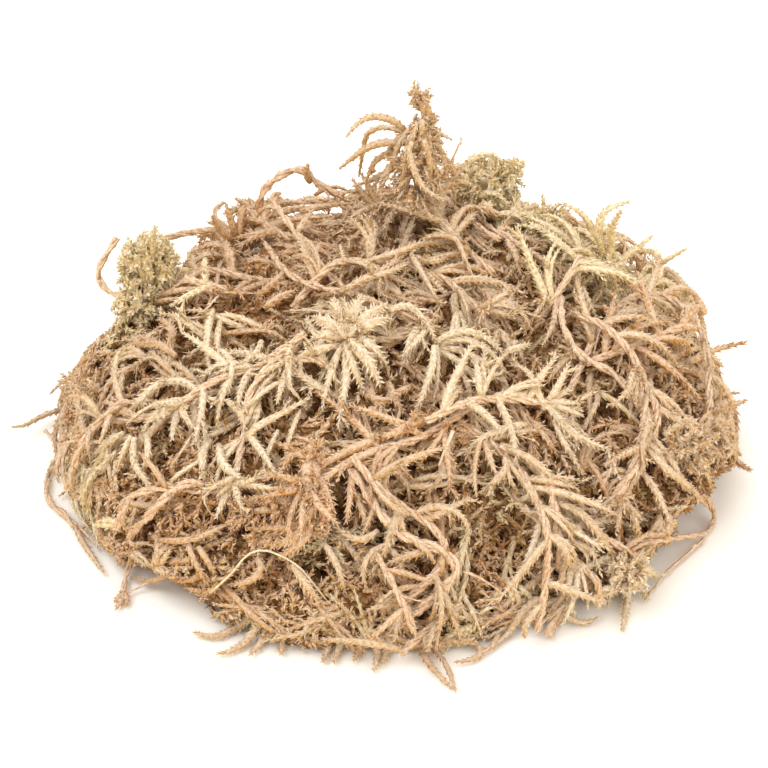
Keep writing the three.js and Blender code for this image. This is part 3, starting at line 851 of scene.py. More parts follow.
def ramp(tree, source, low, high, bottom=0.0, top=1.0):
    made = node(tree, "ShaderNodeMapRange")
    tree.links.new(source, made.inputs["Value"])
    for socket, value in zip(("From Min", "From Max", "To Min", "To Max"), (low, high, bottom, top)):
        made.inputs[socket].default_value = value
    return made.outputs["Result"]


def blend(tree, share, first, second):
    made = node(tree, "ShaderNodeMix", data_type="RGBA")
    tree.links.new(share, made.inputs[0])
    tree.links.new(first, made.inputs[6])
    tree.links.new(second, made.inputs[7])
    return made.outputs[2]


def times(tree, first, second):
    made = node(tree, "ShaderNodeMath", operation="MULTIPLY")
    tree.links.new(first, made.inputs[0])
    tree.links.new(second, made.inputs[1])
    return made.outputs[0]


def noise(tree, scale, detail=3.0):
    made = node(tree, "ShaderNodeTexNoise")
    place = node(tree, "ShaderNodeTexCoord")
    tree.links.new(place.outputs["Object"], made.inputs["Vector"])
    made.inputs["Scale"].default_value = scale
    made.inputs["Detail"].default_value = detail
    return made.outputs["Fac"]


def paint(tree, colour):
    made = node(tree, "ShaderNodeRGB")
    made.outputs[0].default_value = (*colour, 1)
    return made.outputs[0]


def scales(tree, size):
    """Small rounded cells, like leaves pressed over each other: 0 at their middles."""
    made = node(tree, "ShaderNodeTexVoronoi")
    place = node(tree, "ShaderNodeTexCoord")
    tree.links.new(place.outputs["Object"], made.inputs["Vector"])
    made.inputs["Scale"].default_value = 1 / size
    return made.outputs["Distance"]


# %% The moss effect's colours
given = node(moss, "NodeGroupInput").outputs
# Leaf tips are bleached and are also painted lighter as light shining through them. The bases keep the
# darker Leaf colour as painted shade between the leaves.
tip_bleach_and_light = ramp(moss, mark(moss, "leaf_tip"), 0.1, 0.95, 0.0, 0.9)
colour = blend(moss, tip_bleach_and_light, given["Leaf"], given["Bleached and lit tip"])
patches = ramp(moss, noise(moss, 55.0, 4.0), 0.5, 0.68)
colour = blend(moss, times(moss, patches, given["Patch amount"]), colour, given["Patch"])
colour = blend(moss, ramp(moss, mark(moss, "stem"), 0.0, 1.0, 0.0, 0.85), colour, given["Stem"])
colour = blend(moss, ramp(moss, mark(moss, "shade"), 0.0, 2.0), colour, given["Patch"])
# What lies deep is painted deep brown: partly the clump's own browner inside, partly painted shade.
colour = blend(moss, ramp(moss, mark(moss, "deep_brown_and_shade"), 0.25, 0.88, 0.0, 0.88), colour, given["Deep brown and shade"])
# The edges of the leaf cells are painted darker and more saturated as shade in the creases between the
# leaves. The fine noise gives real specks.
cells = scales(moss, 0.0006)
specks_and_painted_shade = node(moss, "ShaderNodeHueSaturation")
moss.links.new(colour, specks_and_painted_shade.inputs["Color"])
# Painted light and shade by facing: faces turned down or sideways get more saturated colour as painted
# shade, faces turned up get less as painted light.
facing = node(moss, "ShaderNodeSeparateXYZ")
moss.links.new(node(moss, "ShaderNodeTexCoord").outputs["Normal"], facing.inputs[0])
painted_light_by_facing = ramp(moss, facing.outputs["Z"], 0.75, -0.1, 0.86, 1.32)
moss.links.new(times(moss, painted_light_by_facing, ramp(moss, cells, 0.25, 0.75, 0.98, 1.1)), specks_and_painted_shade.inputs["Saturation"])
fine = ramp(moss, noise(moss, 1400.0, 2.0), 0.3, 0.7, 0.88, 1.12)
painted_crease_shade = ramp(moss, cells, 0.25, 0.8, 1.04, 0.84)
moss.links.new(times(moss, fine, painted_crease_shade), specks_and_painted_shade.inputs["Value"])
result = node(moss, "NodeGroupOutput")
moss.links.new(specks_and_painted_shade.outputs["Color"], result.inputs["Color"])
moss.links.new(ramp(moss, cells, 0.0, 0.8, 1.0, 0.0), result.inputs["Height"])
moss.links.new(ramp(moss, noise(moss, 900.0), 0.3, 0.7, 0.8, 0.95), result.inputs["Roughness"])
print("moss effect nodes:", len(moss.nodes))


# %% The crumb finish of the mound
crumbs = bpy.data.materials.new("moss_crumbs")
crumbs.use_nodes = True
tree = crumbs.node_tree
warped = node(tree, "ShaderNodeTexNoise", noise_dimensions="3D")
place = node(tree, "ShaderNodeTexCoord")
tree.links.new(place.outputs["Object"], warped.inputs["Vector"])
warped.inputs["Scale"].default_value = 420.0
shift = node(tree, "ShaderNodeVectorMath", operation="MULTIPLY_ADD")
tree.links.new(warped.outputs["Color"], shift.inputs[0])
shift.inputs[1].default_value = (0.0022, 0.0022, 0.0022)
tree.links.new(place.outputs["Object"], shift.inputs[2])
flakes = node(tree, "ShaderNodeTexVoronoi")
flakes.inputs["Scale"].default_value = 850.0
tree.links.new(shift.outputs["Vector"], flakes.inputs["Vector"])
# The gaps between the crumbs are painted dark brown as shade. The flakes differ in tone at random.
painted_crack_shade = paint(tree, (0.14, 0.05, 0.012))
flake_brown = paint(tree, (0.32, 0.17, 0.07))
flake_tan = paint(tree, (0.46, 0.28, 0.14))
body = ramp(tree, flakes.outputs["Distance"], 0.35, 0.95, 1.0, 0.0)
split = node(tree, "ShaderNodeSeparateColor")
tree.links.new(flakes.outputs["Color"], split.inputs[0])
flake_colour = blend(tree, ramp(tree, split.outputs[0], 0.2, 0.9), flake_brown, flake_tan)
crumb_colour = blend(tree, body, painted_crack_shade, flake_colour)
shader = tree.nodes["Principled BSDF"]
tree.links.new(crumb_colour, shader.inputs["Base Color"])
shader.inputs["Roughness"].default_value = 0.95
shader.inputs["Specular IOR Level"].default_value = 0.05
crumb_bump = node(tree, "ShaderNodeBump")
crumb_bump.inputs["Strength"].default_value = 1.0
crumb_bump.inputs["Distance"].default_value = 0.0007
tree.links.new(body, crumb_bump.inputs["Height"])
tree.links.new(crumb_bump.outputs["Normal"], shader.inputs["Normal"])
print("crumb finish nodes:", len(tree.nodes))


# %% The tones
def moss_finish(name, paints, amount):
    finish = bpy.data.materials.new(name)
    finish.use_nodes = True
    tree = finish.node_tree
    shader = tree.nodes["Principled BSDF"]
    shader.inputs["Specular IOR Level"].default_value = 0.08
    effect = node(tree, "ShaderNodeGroup", node_tree=moss)
    for label, value in zip(PAINTS, paints):
        effect.inputs[label].default_value = (*value, 1)
    effect.inputs["Patch amount"].default_value = amount
    tree.links.new(effect.outputs["Color"], shader.inputs["Base Color"])
    tree.links.new(effect.outputs["Roughness"], shader.inputs["Roughness"])
    bump = node(tree, "ShaderNodeBump")
    bump.inputs["Strength"].default_value = 0.6
    bump.inputs["Distance"].default_value = 0.0002
    tree.links.new(effect.outputs["Height"], bump.inputs["Height"])
    tree.links.new(bump.outputs["Normal"], shader.inputs["Normal"])
    return finish


BROWN_STEM = (0.76, 0.565, 0.41)
PALE_STEM = (0.74, 0.61, 0.44)
TONES = {
    # leaf, whose darker base is partly painted shade; bleached tip, partly painted light; deep brown,
    # partly painted shade; patch; and how strong the patches are
    "straw": ((0.66, 0.455, 0.265), (0.68, 0.62, 0.53), (0.40, 0.165, 0.045), (0.56, 0.35, 0.18), 0.4),
    "cream": ((0.73, 0.555, 0.355), (0.74, 0.70, 0.61), (0.44, 0.21, 0.055), (0.70, 0.51, 0.30), 0.3),
    "tan": ((0.64, 0.405, 0.225), (0.66, 0.58, 0.48), (0.38, 0.155, 0.045), (0.50, 0.29, 0.15), 0.5),
    "olive": ((0.77, 0.62, 0.39), (0.82, 0.77, 0.61), (0.42, 0.235, 0.09), (0.60, 0.45, 0.25), 0.4),
    "russet": ((0.63, 0.40, 0.22), (0.77, 0.64, 0.50), (0.37, 0.15, 0.04), (0.53, 0.28, 0.13), 0.5),
    "fibre": ((0.74, 0.61, 0.43), (0.80, 0.68, 0.50), (0.4, 0.3, 0.2), (0.6, 0.5, 0.35), 0.3),
}
finishes = {}
for tone, (leafy, tip, deep_brown_and_shade, patch, amount) in TONES.items():
    stem_colour = PALE_STEM if tone == "fibre" else BROWN_STEM
    paints = (leafy, tip, deep_brown_and_shade, stem_colour, patch)
    finishes[tone] = moss_finish(f"{tone}_moss", paints, amount)
print("finishes:", sorted(finishes))

# %% [markdown]
# ## Cushions
# Between the plants one looks down on the heads of others: round cushions of short sprigs, with
# dark hollows between. They swell out of the mound as low domes, and everything lies over them.

# %% The ground's shape
CUSHIONS = 92
cushion_chance = np.random.default_rng(12)
cushion_middles = []
for n in range(CUSHIONS):
    turn = n * GOLDEN_ANGLE + cushion_chance.uniform(-0.12, 0.12)
    ray = unit(dome_spot((n + 0.5) / CUSHIONS, 1.1, turn) - FOCUS)
    cushion_middles.append(FOCUS + ray * heart_reach(ray))
cushion_middles = np.array(cushion_middles)
cushion_radii = cushion_chance.uniform(8.5, 13.0, CUSHIONS)
cushion_heights = cushion_chance.uniform(2.5, 6.5, CUSHIONS)
DENT_DEPTH = 4.0  # mm, in the middle of a deep gap
PULL_IN = 0.9  # the step by which ground that shows outside the heap's outline is pulled in


def ground(ray):
    """How far out the cushions reach along a ray from FOCUS, and which cushion it meets."""
    reach = heart_reach(ray)
    points = FOCUS + ray * np.asarray(reach)[..., None]
    apart = np.linalg.norm(points[..., None, :] - cushion_middles, axis=-1)
    domes = cushion_heights * np.clip(1 - (apart / cushion_radii) ** 2, 0, 1)
    dent = hollowed(points)
    reach = reach - 1.0 + domes.max(-1) * (1 - 0.8 * dent) - DENT_DEPTH * dent
    for _ in range(10):
        outside = ~in_bulk(FOCUS + ray * np.asarray(reach)[..., None], -2.0)
        if not outside.any():
            break
        reach = reach - PULL_IN * outside
    return reach, domes.argmax(-1)


print("cushions:", CUSHIONS)


# %% [markdown]
# ## Dressing a plant
# The stem is a rope of two or three bark-clad strands wound round each other. Side twigs spring from
# it in bundles, some spreading and some hanging along the stem. A head is a tuft of short twigs
# turned by the golden angle, the inner ones upright and the outer ones laid out flat.

# %% Lines for stems and twigs
def smooth_line(points, step=2.0):
    """A smooth line through points, with a point about every step."""
    points = [np.asarray(point, float) for point in points]
    span = sum(np.linalg.norm(b - a) for a, b in zip(points, points[1:]))
    count = max(4, round(span / step))
    return np.array([along_route(points, k / count) for k in range(count + 1)])


TIP_CLEARANCE = 0.6  # mm between a twig's tip and the cushions
LOWEST_TIP = 1.2  # mm over the table, for a curve's middle line
LOWEST_TWIG = 1.4  # the same for a drawn strand or a shoot of the mat
HEAD_SPREAD = 1.45  # radians, for the outermost twigs of a head
HEAD_PLACE = 1.3  # how far before the stem's end the head's twigs start, in points of the line
STRAND_LENGTH = 14  # mm, which a bark-clad length is made for
BARE_END = 0.08  # the share of a stem, from its old end, that has no twigs


def kept_over(line, high):
    """Lifts a line's points over the cushions and the table, and holds them under a height."""
    away = line - FOCUS
    distance = np.linalg.norm(away, axis=1)
    rays = away / distance[:, None]
    if high is not None:
        distance = np.minimum(distance, heart_reach(rays) + high * np.linspace(1.0, 0.6, len(line)))
    least = ground(rays)[0] + TIP_CLEARANCE * np.linspace(0, 1, len(line))
    line = FOCUS + rays * np.maximum(distance, least)[:, None]
    line[:, 2] = np.maximum(line[:, 2], LOWEST_TIP)
    return line


def twig_curve(root, way, toward, turn, length, high=None):
    """A twig's line: it sets out along its way and turns, more and more, by `turn` radians."""
    toward = unit(toward - way * (way @ toward) + 1e-6)
    t = (np.arange(9) + 0.5) / 9
    angle = (turn * t**1.3)[:, None]
    steps = way * np.cos(angle) + toward * np.sin(angle)
    return kept_over(root + np.vstack([[0, 0, 0], np.cumsum(steps, axis=0)]) * (length / 9), high)


def wound(line, radius, phase, period=11.0):
    """A line wound round another."""
    _, first, second = cross_ways(line)
    run = np.append(0, np.cumsum(np.linalg.norm(np.diff(line, axis=0), axis=1)))
    angle = (phase + run / period * 2 * math.pi)[:, None]
    return line + (first * np.cos(angle) + second * np.sin(angle)) * radius


# %% Ropes, bundles and heads
def lay_rope(piece, line, strands, radius, shade, width, free=True):
    """A stem: strands of bark wound round each other, laid in short lengths."""
    for n in range(strands):
        strand = wound(line, radius, n * 2 * math.pi / strands)
        run = np.linalg.norm(np.diff(strand, axis=0), axis=1).sum()
        lengths = max(1, round(run / STRAND_LENGTH))
        for part in np.array_split(np.arange(len(strand) - 1), lengths):
            lay_twig(piece, "bark", strand[part[0] : part[-1] + 2], width, shade + 0.1 * n, 0.0, free)


def downhill(root):
    """The way in which a heap falls away at a point."""
    ray = unit(root - FOCUS)
    level = unit(np.array([-ray[1], ray[0], 1e-6]))
    return np.cross(level, ray)


def lay_bundles(piece, line, spacing, count, lengths, kinds, shade, chance, high=None):
    """Bundles of twigs along a stem. A bundle's arms fan out together, arch and droop."""
    run = np.linalg.norm(np.diff(line, axis=0), axis=1).sum()
    bundles = max(1, round(run * (1 - BARE_END) / spacing))
    for b in range(bundles):
        share = BARE_END + (1 - BARE_END) * (b + chance.uniform(0.2, 0.8)) / bundles
        place = share * (len(line) - 1)
        root, along, out, side = frame_at(line, min(place, len(line) - 1.01))
        hand = 1 if (b + (chance.random() < 0.25)) % 2 else -1
        sweep = chance.uniform(0.35, 1.25)
        rise = chance.uniform(0.2, 0.9)
        toward = downhill(root) * chance.uniform(0.2, 1.2)
        toward = toward - out * chance.uniform(0.4, 1.0)
        toward = toward + side * chance.normal() * 0.5
        bending = chance.uniform(0.9, 2.9)
        for n in range(count):
            opened = sweep + 0.24 * (n - (count - 1) / 2) + 0.1 * chance.normal()
            way = unit(along * math.cos(opened) + side * hand * math.sin(opened) + out * rise)
            kind = kinds[chance.integers(len(kinds))]
            turn = bending * chance.uniform(0.7, 1.25)
            curve = twig_curve(root, way, toward, turn, chance.uniform(*lengths), high)
            lay_loose(piece, kind, curve, (0.66, 1.0), shade, (-0.25, 0.3), chance)


def lay_head(piece, line, count, lengths, kinds, shade, chance, high=None):
    """A head: short twigs round the end of a stem's line."""
    root, along, out, side = frame_at(line, len(line) - HEAD_PLACE)
    for n in range(count):
        turn = (n + chance.uniform(0, 0.35)) * GOLDEN_ANGLE
        opened = HEAD_SPREAD * math.sqrt((n + 0.6) / count)
        round_it = side * math.cos(turn) + out * math.sin(turn)
        way = along * math.cos(opened) + round_it * math.sin(opened)
        toward = -along - out * chance.uniform(0, 0.8) + side * chance.normal() * 0.4
        length = chance.uniform(*lengths) * (0.55 + 0.45 * opened / HEAD_SPREAD)
        curve = twig_curve(root, unit(way), toward, chance.uniform(0.3, 1.3), length, high)
        lay_loose(piece, kinds[n % len(kinds)], curve, (0.85, 1.1), shade, (-0.2, 0.3), chance)


# %% [markdown]
# ## The named plants
# Each packed plant is dressed along its own stem and twig lines, with finer twigs between them. Then
# come the strands that give it its own look: some lie on the heap, some stand up from it, and short
# sprigs all round a line make a head or a shaggy stem plump.

# %% How each kind is dressed
DRESS = {
    # rope strands, their winding radius, bundle spacing, twigs a bundle, their lengths, then the
    # head's twigs and their lengths
    "leafy": (3, 0.5, 7.0, 2, (9, 15), 5, (6, 9)),
    "bare": (2, 0.42, 16.0, 1, (5, 9), 3, (4, 6)),
    "tuft": (3, 0.5, 7.0, 2, (6, 11), 10, (6, 9)),
    "spray": (3, 0.5, 7.0, 2, (10, 16), 4, (7, 11)),
}
KIND_TWIGS = {
    "leafy": ("slim", "pressed", "feathery"),
    "bare": ("wiry", "pressed"),
    "tuft": ("feathery",),
    "spray": ("slim", "feathery"),
}


def quadratic(line):
    """Nine points on the curve through a twig's root, middle and tip."""
    t = np.linspace(0, 1, 9)[:, None]
    a, b, c = line
    return a * (1 - t) * (1 - 2 * t) + b * 4 * t * (1 - t) + c * t * (2 * t - 1)


print("kinds to dress:", sorted(DRESS))


# %% Strands that lie on the heap
def read_strands(text):
    """Reads strands. Each is a kind of twig, its thickness, and then the rest of its numbers."""
    found = []
    for word in text.split():
        if word.isalpha():
            found.append([word])
        else:
            (numbers,) = read_places(word)
            found[-1].append(numbers if len(numbers) > 1 else numbers[0])
    return found


# each: kind, thickness, then points as place in the view and height over the mound
LYING = {
    "star_head": """
    feathery 1.9 350,336,10 364,318,12 385,306,9
    feathery 1.8 347,334,10 352,317,12 362,297,9
    feathery 1.7 345,335,10 339,318,12 334,300,9
    feathery 1.8 345,336,10 330,324,12 314,318,9
    feathery 1.7 344,338,10 328,334,11 311,341,8
    feathery 2.0 349,341,11 364,356,12 380,384,8
    feathery 1.7 352,339,10 370,345,11 384,362,7
    feathery 1.7 353,335,10 370,324,12 388,318,10
    feathery 1.6 346,342,10 352,362,10 362,388,6
    slim 1.3 345,345,9 346,380,8 338,428,6
    slim 1.2 342,345,9 330,375,8 322,410,5
    slim 1.3 340,344,9 318,350,10 300,358,8 304,392,5
    feathery 1.1 348,338,12 352,330,14 358,326,13
    feathery 1.1 348,338,12 341,332,14 337,325,13
    feathery 1.1 349,339,12 354,344,13 358,352,11
    """,
    "right_fan": """
    feathery 1.15 387,311,8 408,306,9 424,320,9 437,342,7
    feathery 1.2 437,341,8 462,331,10 486,338,9 506,356,6
    slim 1.15 438,344,7 465,339,9 490,352,8 506,372,5
    slim 1.1 436,347,6 460,350,7 482,362,7 494,380,5
    slim 1.1 434,350,6 450,356,6 470,372,6 480,388,4
    slim 1.1 505,352,7 518,348,8 530,344,7
    slim 1.2 434,346,9 432,368,9 424,392,7 414,416,4
    slim 0.9 437,346,8 438,372,8 436,398,5
    wiry 1.4 452,390,6 461,374,8 467,359,9
    slim 0.9 463,374,7 469,388,7 471,402,5
    feathery 1.2 484,402,7 505,395,9 528,396,8 548,404,7
    feathery 1.3 548,403,8 560,420,9 574,434,9 590,443,9 608,449,8
    slim 1.0 554,420,7 564,442,7 582,472,5
    feathery 1.2 526,424,7 500,430,8 478,440,7 466,454,5
    feathery 1.1 546,410,8 536,388,9 528,372,8 512,364,6
    hair 1.5 453,431,9 446,448,9 439,466,8
    """,
    "russet_branch": """
    feathery 1.5 382,437,7 346,452,9 318,468,9 306,490,8
    feathery 1.5 388,446,7 352,461,9 330,474,9 312,492,8
    feathery 1.5 320,478,9 326,494,10 328,512,9 322,532,7
    feathery 1.6 312,450,8 306,470,10 308,494,10 290,508,9 256,512,7
    feathery 1.6 314,474,9 312,508,10 294,526,9 250,528,7
    feathery 1.5 312,500,9 300,532,9 276,544,7 246,538,5
    feathery 1.4 316,520,8 300,544,8 279,556,5
    feathery 1.4 310,462,9 296,452,10 286,462,8 284,478,6
    feathery 1.4 308,458,9 312,444,10 322,440,8
    feathery 1.4 300,500,9 278,502,9 252,500,7 236,508,4
    slim 1.5 420,424,6 398,432,8 376,440,8
    slim 1.5 436,416,6 410,424,8 384,436,8
    """,
    "middle_fall": """
    rope 1.25 350,468,8 364,488,9 380,512,9 396,531,9 413,540,9 434,547,9 452,559,9 456,573,9 445,586,8
        427,603,7 408,618,6 390,628,4
    slim 1.1 413,540,9 427,551,10 434,562,9
    slim 1.2 354,490,6 362,510,7 368,531,6
    slim 1.2 378,531,7 358,540,8 332,525,6
    slim 1.1 392,543,7 372,552,8 363,570,7 367,590,5
    slim 1.1 388,548,7 400,560,7 398,580,6
    wiry 1.3 460,571,8 480,578,8 511,599,5
    feathery 1.1 322,541,6 334,558,7 341,577,7 345,592,4
    feathery 1.3 292,564,6 306,584,7 320,603,4
    """,
    "right_fall": """
    rope 1.15 500,445,7 524,456,8 546,476,9 553,500,9 557,530,9 560,555,9 564,590,7 558,608,6 548,636,3
    slim 1.25 508,449,8 530,458,10 549,474,10 560,486,8
    slim 1.2 566,545,8 573,568,8 571,592,7 562,613,5 552,634,2
    slim 1.1 552,504,9 550,530,8 548,560,6
    feathery 1.4 558,504,8 578,511,9 598,532,9 620,566,7
    slim 1.1 561,523,8 575,527,9 587,540,8 606,543,8 630,551,5
    feathery 1.2 569,556,7 580,572,7 592,591,4
    feathery 1.1 522,478,7 532,494,8 541,512,7 522,511,6
    slim 1.2 538,598,6 522,612,6 508,634,3 494,646,1
    slim 1.0 560,612,5 582,623,3 598,618,1
    """,
    "right_foot_head": """
    feathery 1.3 628,568,6 640,566,6 658,577,3
    feathery 1.3 628,570,6 638,582,5 647,600,2
    feathery 1.2 626,571,6 628,596,5 622,630,1
    feathery 1.2 624,570,6 612,586,5 608,606,2
    feathery 1.2 624,566,7 606,562,7 590,568,5
    feathery 1.2 627,564,7 622,550,8 612,540,6
    feathery 1.1 630,565,7 640,553,7 652,546,5
    feathery 0.8 627,568,9 632,562,10 637,560,9
    slim 1.1 592,599,4 610,592,4 626,590,3
    """,
    "right_curve": """
    rope 1.0 549,281,7 561,300,8 562,322,8 573,345,8 586,359,8 602,367,8 616,376,8 631,392,8 643,412,7
    rope 1.4 641,376,8 644,400,9 646,420,9 640,448,9 629,477,8 602,512,5
    slim 1.2 650,380,7 652,410,8 648,440,8 636,470,7 612,500,5
    feathery 1.1 547,282,7 542,304,8 530,322,6
    feathery 1.1 556,300,7 554,322,7 543,345,5
    feathery 1.1 572,352,6 560,364,6 548,382,4
    slim 1.1 648,443,8 661,456,8 666,478,6
    slim 1.1 652,436,8 672,462,8 684,486,6 702,497,4
    wiry 1.6 614,453,7 611,469,8 600,491,6
    """,
    "right_arc": """
    slim 1.2 640,277,4 653,271,4 674,278,3 693,301,3 703,323,3 707,345,3
    slim 1.2 637,284,4 659,282,4 677,296,4 690,316,4 695,338,3
    slim 1.1 642,292,4 661,294,5 675,309,4 682,330,3
    slim 1.1 644,272,3 668,270,2 688,290,2 702,312,2
    pressed 1.2 632,287,6 641,306,8 640,331,8 624,349,7 617,372,6
    wiry 1.6 630,326,7 622,317,9 608,319,9 599,332,8 593,358,5
    feathery 1.5 664,436,8 689,423,9 707,438,7 711,462,5
    slim 1.2 646,448,8 668,470,9 690,488,6 706,506,3
    feathery 1.2 672,440,6 692,444,7 704,468,5 712,490,2
    feathery 1.2 668,434,7 684,452,8 690,474,6
    feathery 1.1 670,432,7 680,440,9 696,452,8 702,470,5
    feathery 1.3 706,400,4 722,403,3 744,402,3
    feathery 1.3 708,426,4 722,434,2 737,435,2
    feathery 1.3 712,446,3 732,460,2 751,470,2
    feathery 1.2 698,388,4 710,380,3 718,367,3
    """,
    "right_loop": """
    rope 0.75 626,541,6 658,541,5 683,537,3 706,533,2 714,520,2 711,506,2 702,494,3
    wiry 1.7 704,539,1 686,555,1 665,574,2 646,599,2
    pressed 1.2 667,534,5 645,536,7 626,541,6
    """,
    "right_spike": """
    feathery 1.4 658,372,4 690,361,4 718,349,3 744,343,4
    slim 1.1 662,366,5 684,352,6 706,348,4
    slim 1.0 694,375,3 706,370,3 719,366,3
    slim 1.0 712,397,2 724,394,2 738,393,3
    slim 1.0 714,412,2 730,408,2 746,400,3
    slim 0.9 728,452,1 738,462,1 748,470,1
    """,
    "left_head": """
    slim 1.25 213,310,7 208,328,8 207,350,8 212,380,7
    slim 1.1 220,322,6 217,345,7 220,372,7
    wiry 1.6 222,293,7 214,300,8 208,308,8 197,315,7
    feathery 1.3 219,350,8 232,364,9 228,394,8
    feathery 1.0 261,341,7 257,352,8 236,367,8
    feathery 1.3 160,383,7 184,382,9 206,398,9 230,401,8
    feathery 1.3 172,379,7 158,384,8 140,400,7 129,414,4
    slim 1.2 228,402,8 240,412,8 246,430,6
    feathery 1.1 194,403,7 194,420,6 188,440,4
    feathery 1.2 134,438,7 134,462,7 146,481,6 157,497,3
    feathery 1.1 124,433,6 107,443,6 91,459,4
    feathery 1.1 131,436,7 124,452,7 118,466,5
    slim 1.1 147,434,7 148,456,7 140,475,5
    slim 1.1 116,452,5 102,471,4 90,485,2
    """,
    "pale_arch": """
    rope 1.0 241,421,7 252,389,9 268,367,10 285,351,10 294,349,8
    slim 1.0 246,424,7 258,394,8 274,374,9 290,358,8
    pressed 1.1 238,416,7 257,397,9 280,382,10 294,392,9 304,406,6
    slim 1.2 246,440,6 257,427,8 286,411,9 309,398,8
    feathery 1.4 219,445,6 222,462,8 239,479,8 265,494,5
    feathery 1.2 210,440,6 201,456,7 206,482,5
    wiry 1.5 214,489,6 203,498,7 212,515,5
    pressed 1.0 200,461,6 178,475,7 164,490,5
    wiry 1.5 193,433,6 177,458,7 168,469,5
    pressed 1.0 278,430,7 268,452,7 262,476,5
    pressed 1.0 300,410,7 290,436,7 286,460,5
    """,
    "left_tail": """
    rope 1.1 204,484,6 184,484,7 166,497,7 149,515,6 132,534,4 119,562,2
    rope 0.8 132,542,4 128,571,2 122,597,1
    feathery 1.0 124,592,1 121,600,1 116,609,1
    feathery 0.9 124,592,1 118,598,1 115,602,1
    feathery 0.9 124,592,1 127,600,1 126,606,1
    slim 0.9 168,575,1 150,581,1 132,578,1
    wiry 1.4 149,581,1 138,588,1 127,593,1
    slim 1.0 160,540,5 188,540,7 213,531,7 232,521,6
    slim 1.0 188,543,6 195,563,5 214,592,2
    slim 1.0 198,546,6 208,562,5 217,576,3
    wiry 1.4 149,543,2 128,545,1 106,547,1
    feathery 1.1 257,557,6 261,569,6 249,581,5 229,585,3
    feathery 1.1 116,524,3 99,521,2 82,528,1
    feathery 1.2 204,574,3 186,580,2 166,574,1
    feathery 1.2 190,560,4 168,562,2 146,566,1
    feathery 1.2 216,588,3 204,592,2 184,587,1
    """,
    "left_droop": """
    rope 0.85 72,436,3 56,460,2 47,483,1 50,502,1 64,514,1 76,527,1
    pressed 1.2 75,526,1 85,545,1 104,573,1
    wiry 1.6 82,454,3 68,466,2 57,480,2
    wiry 1.6 45,430,2 52,438,2 62,445,3
    wiry 1.6 77,525,1 88,536,1 98,547,1
    slim 0.9 88,452,3 78,462,2 68,471,1
    slim 0.9 86,484,3 74,489,2 60,496,1
    """,
    "left_reach": """
    pressed 1.2 62,409,4 42,416,3 26,425,3 12,427,3
    slim 1.1 96,360,3 80,372,2 60,384,2 52,392,1
    slim 1.1 110,352,4 90,356,3 78,366,2
    slim 1.1 78,398,4 64,404,3 56,414,2
    """,
    "front_spray": """
    feathery 1.2 255,612,2 238,627,1 216,637,1 195,633,1
    feathery 1.2 262,620,2 246,642,1 232,651,1 218,653,1
    feathery 1.2 268,624,2 262,642,1 250,654,1
    feathery 1.2 281,628,2 282,642,1 281,654,1
    feathery 1.2 334,624,2 330,642,1 323,662,1
    feathery 1.2 345,628,2 340,646,1 334,662,1
    feathery 1.2 362,630,2 360,648,1 354,660,1
    feathery 1.2 374,632,2 378,652,1 374,670,1
    feathery 1.2 390,630,2 388,648,1 382,664,1
    feathery 1.1 304,626,2 300,640,1 304,650,1
    feathery 1.2 300,612,3 276,616,3 252,610,2
    feathery 1.2 338,606,4 312,614,3 288,616,2
    feathery 1.2 340,612,3 362,620,3 386,618,3
    """,
    "front_tail": """
    slim 1.4 408,628,2 426,640,1 444,662,1
    pressed 1.2 420,640,1 424,656,1 436,672,1 454,690,1
    pressed 1.0 443,658,1 450,674,1 455,690,1
    slim 1.0 470,640,1 482,652,1 470,660,1 456,662,1
    slim 1.0 500,632,2 492,646,1 480,654,1
    """,
    "left_fern": """
    slim 1.1 146,301,5 171,292,7 197,289,8 219,292,8 250,293,7
    slim 1.0 140,306,4 166,300,6 192,298,7
    feathery 1.2 258,296,7 272,284,8 288,272,8 300,276,6
    feathery 1.2 264,308,7 282,296,8 296,290,7
    pressed 1.0 209,304,6 216,286,7 222,262,6 240,252,4
    slim 1.0 222,334,5 250,331,6 272,332,6 289,343,4
    feathery 1.2 168,352,6 172,330,6 160,318,5
    feathery 1.2 176,356,6 156,344,6 130,346,4
    """,
    "left_loop": """
    rope 0.9 254,228,6 270,250,8 283,268,9 300,280,9 322,288,9 342,292,7
    feathery 1.0 340,292,8 356,283,9 378,272,9 406,254,8
    feathery 1.2 362,392,4 378,400,5 398,398,4
    feathery 1.2 412,386,4 396,394,5 378,408,4
    feathery 1.2 388,382,5 394,398,5 404,412,4
    feathery 1.2 368,380,4 372,396,5 384,412,4
    """,
    "brow_arch": """
    feathery 1.2 350,288,8 367,278,9 392,271,9 410,262,7
    feathery 1.1 367,261,8 389,255,9 406,249,9 425,243,8 452,244,6
    slim 1.0 410,252,8 419,268,9 434,294,8 440,306,5
    pressed 1.2 424,211,8 447,228,9 459,244,9 468,266,8 478,287,5
    feathery 1.2 400,202,7 389,214,8 384,228,6
    feathery 1.2 418,200,7 400,205,9 388,220,8 385,236,5
    slim 1.1 414,256,7 430,262,8 448,258,6
    feathery 1.1 372,214,6 376,232,7 366,252,6 352,268,4
    feathery 1.1 340,246,6 344,262,7 340,280,6
    """,
    "upper_rope": """
    rope 0.8 404,150,12 418,173,8 441,187,6 463,202,5 491,228,6 507,236,7 520,246,6
    rope 0.8 436,184,6 452,204,6 478,226,7 500,240,6
    feathery 1.2 506,238,6 516,256,7 520,274,6
    feathery 1.1 508,236,6 528,238,7 544,246,6
    """,
    "east_trail": """
    slim 1.1 573,271,6 582,287,8 596,316,6
    pressed 1.1 590,260,8 580,272,9 579,285,8
    feathery 1.2 600,262,6 618,270,6 632,284,5
    feathery 1.2 606,290,6 618,302,7 620,320,6
    """,
}
print("strands that lie on the heap:", sum(len(read_strands(text)) for text in LYING.values()))

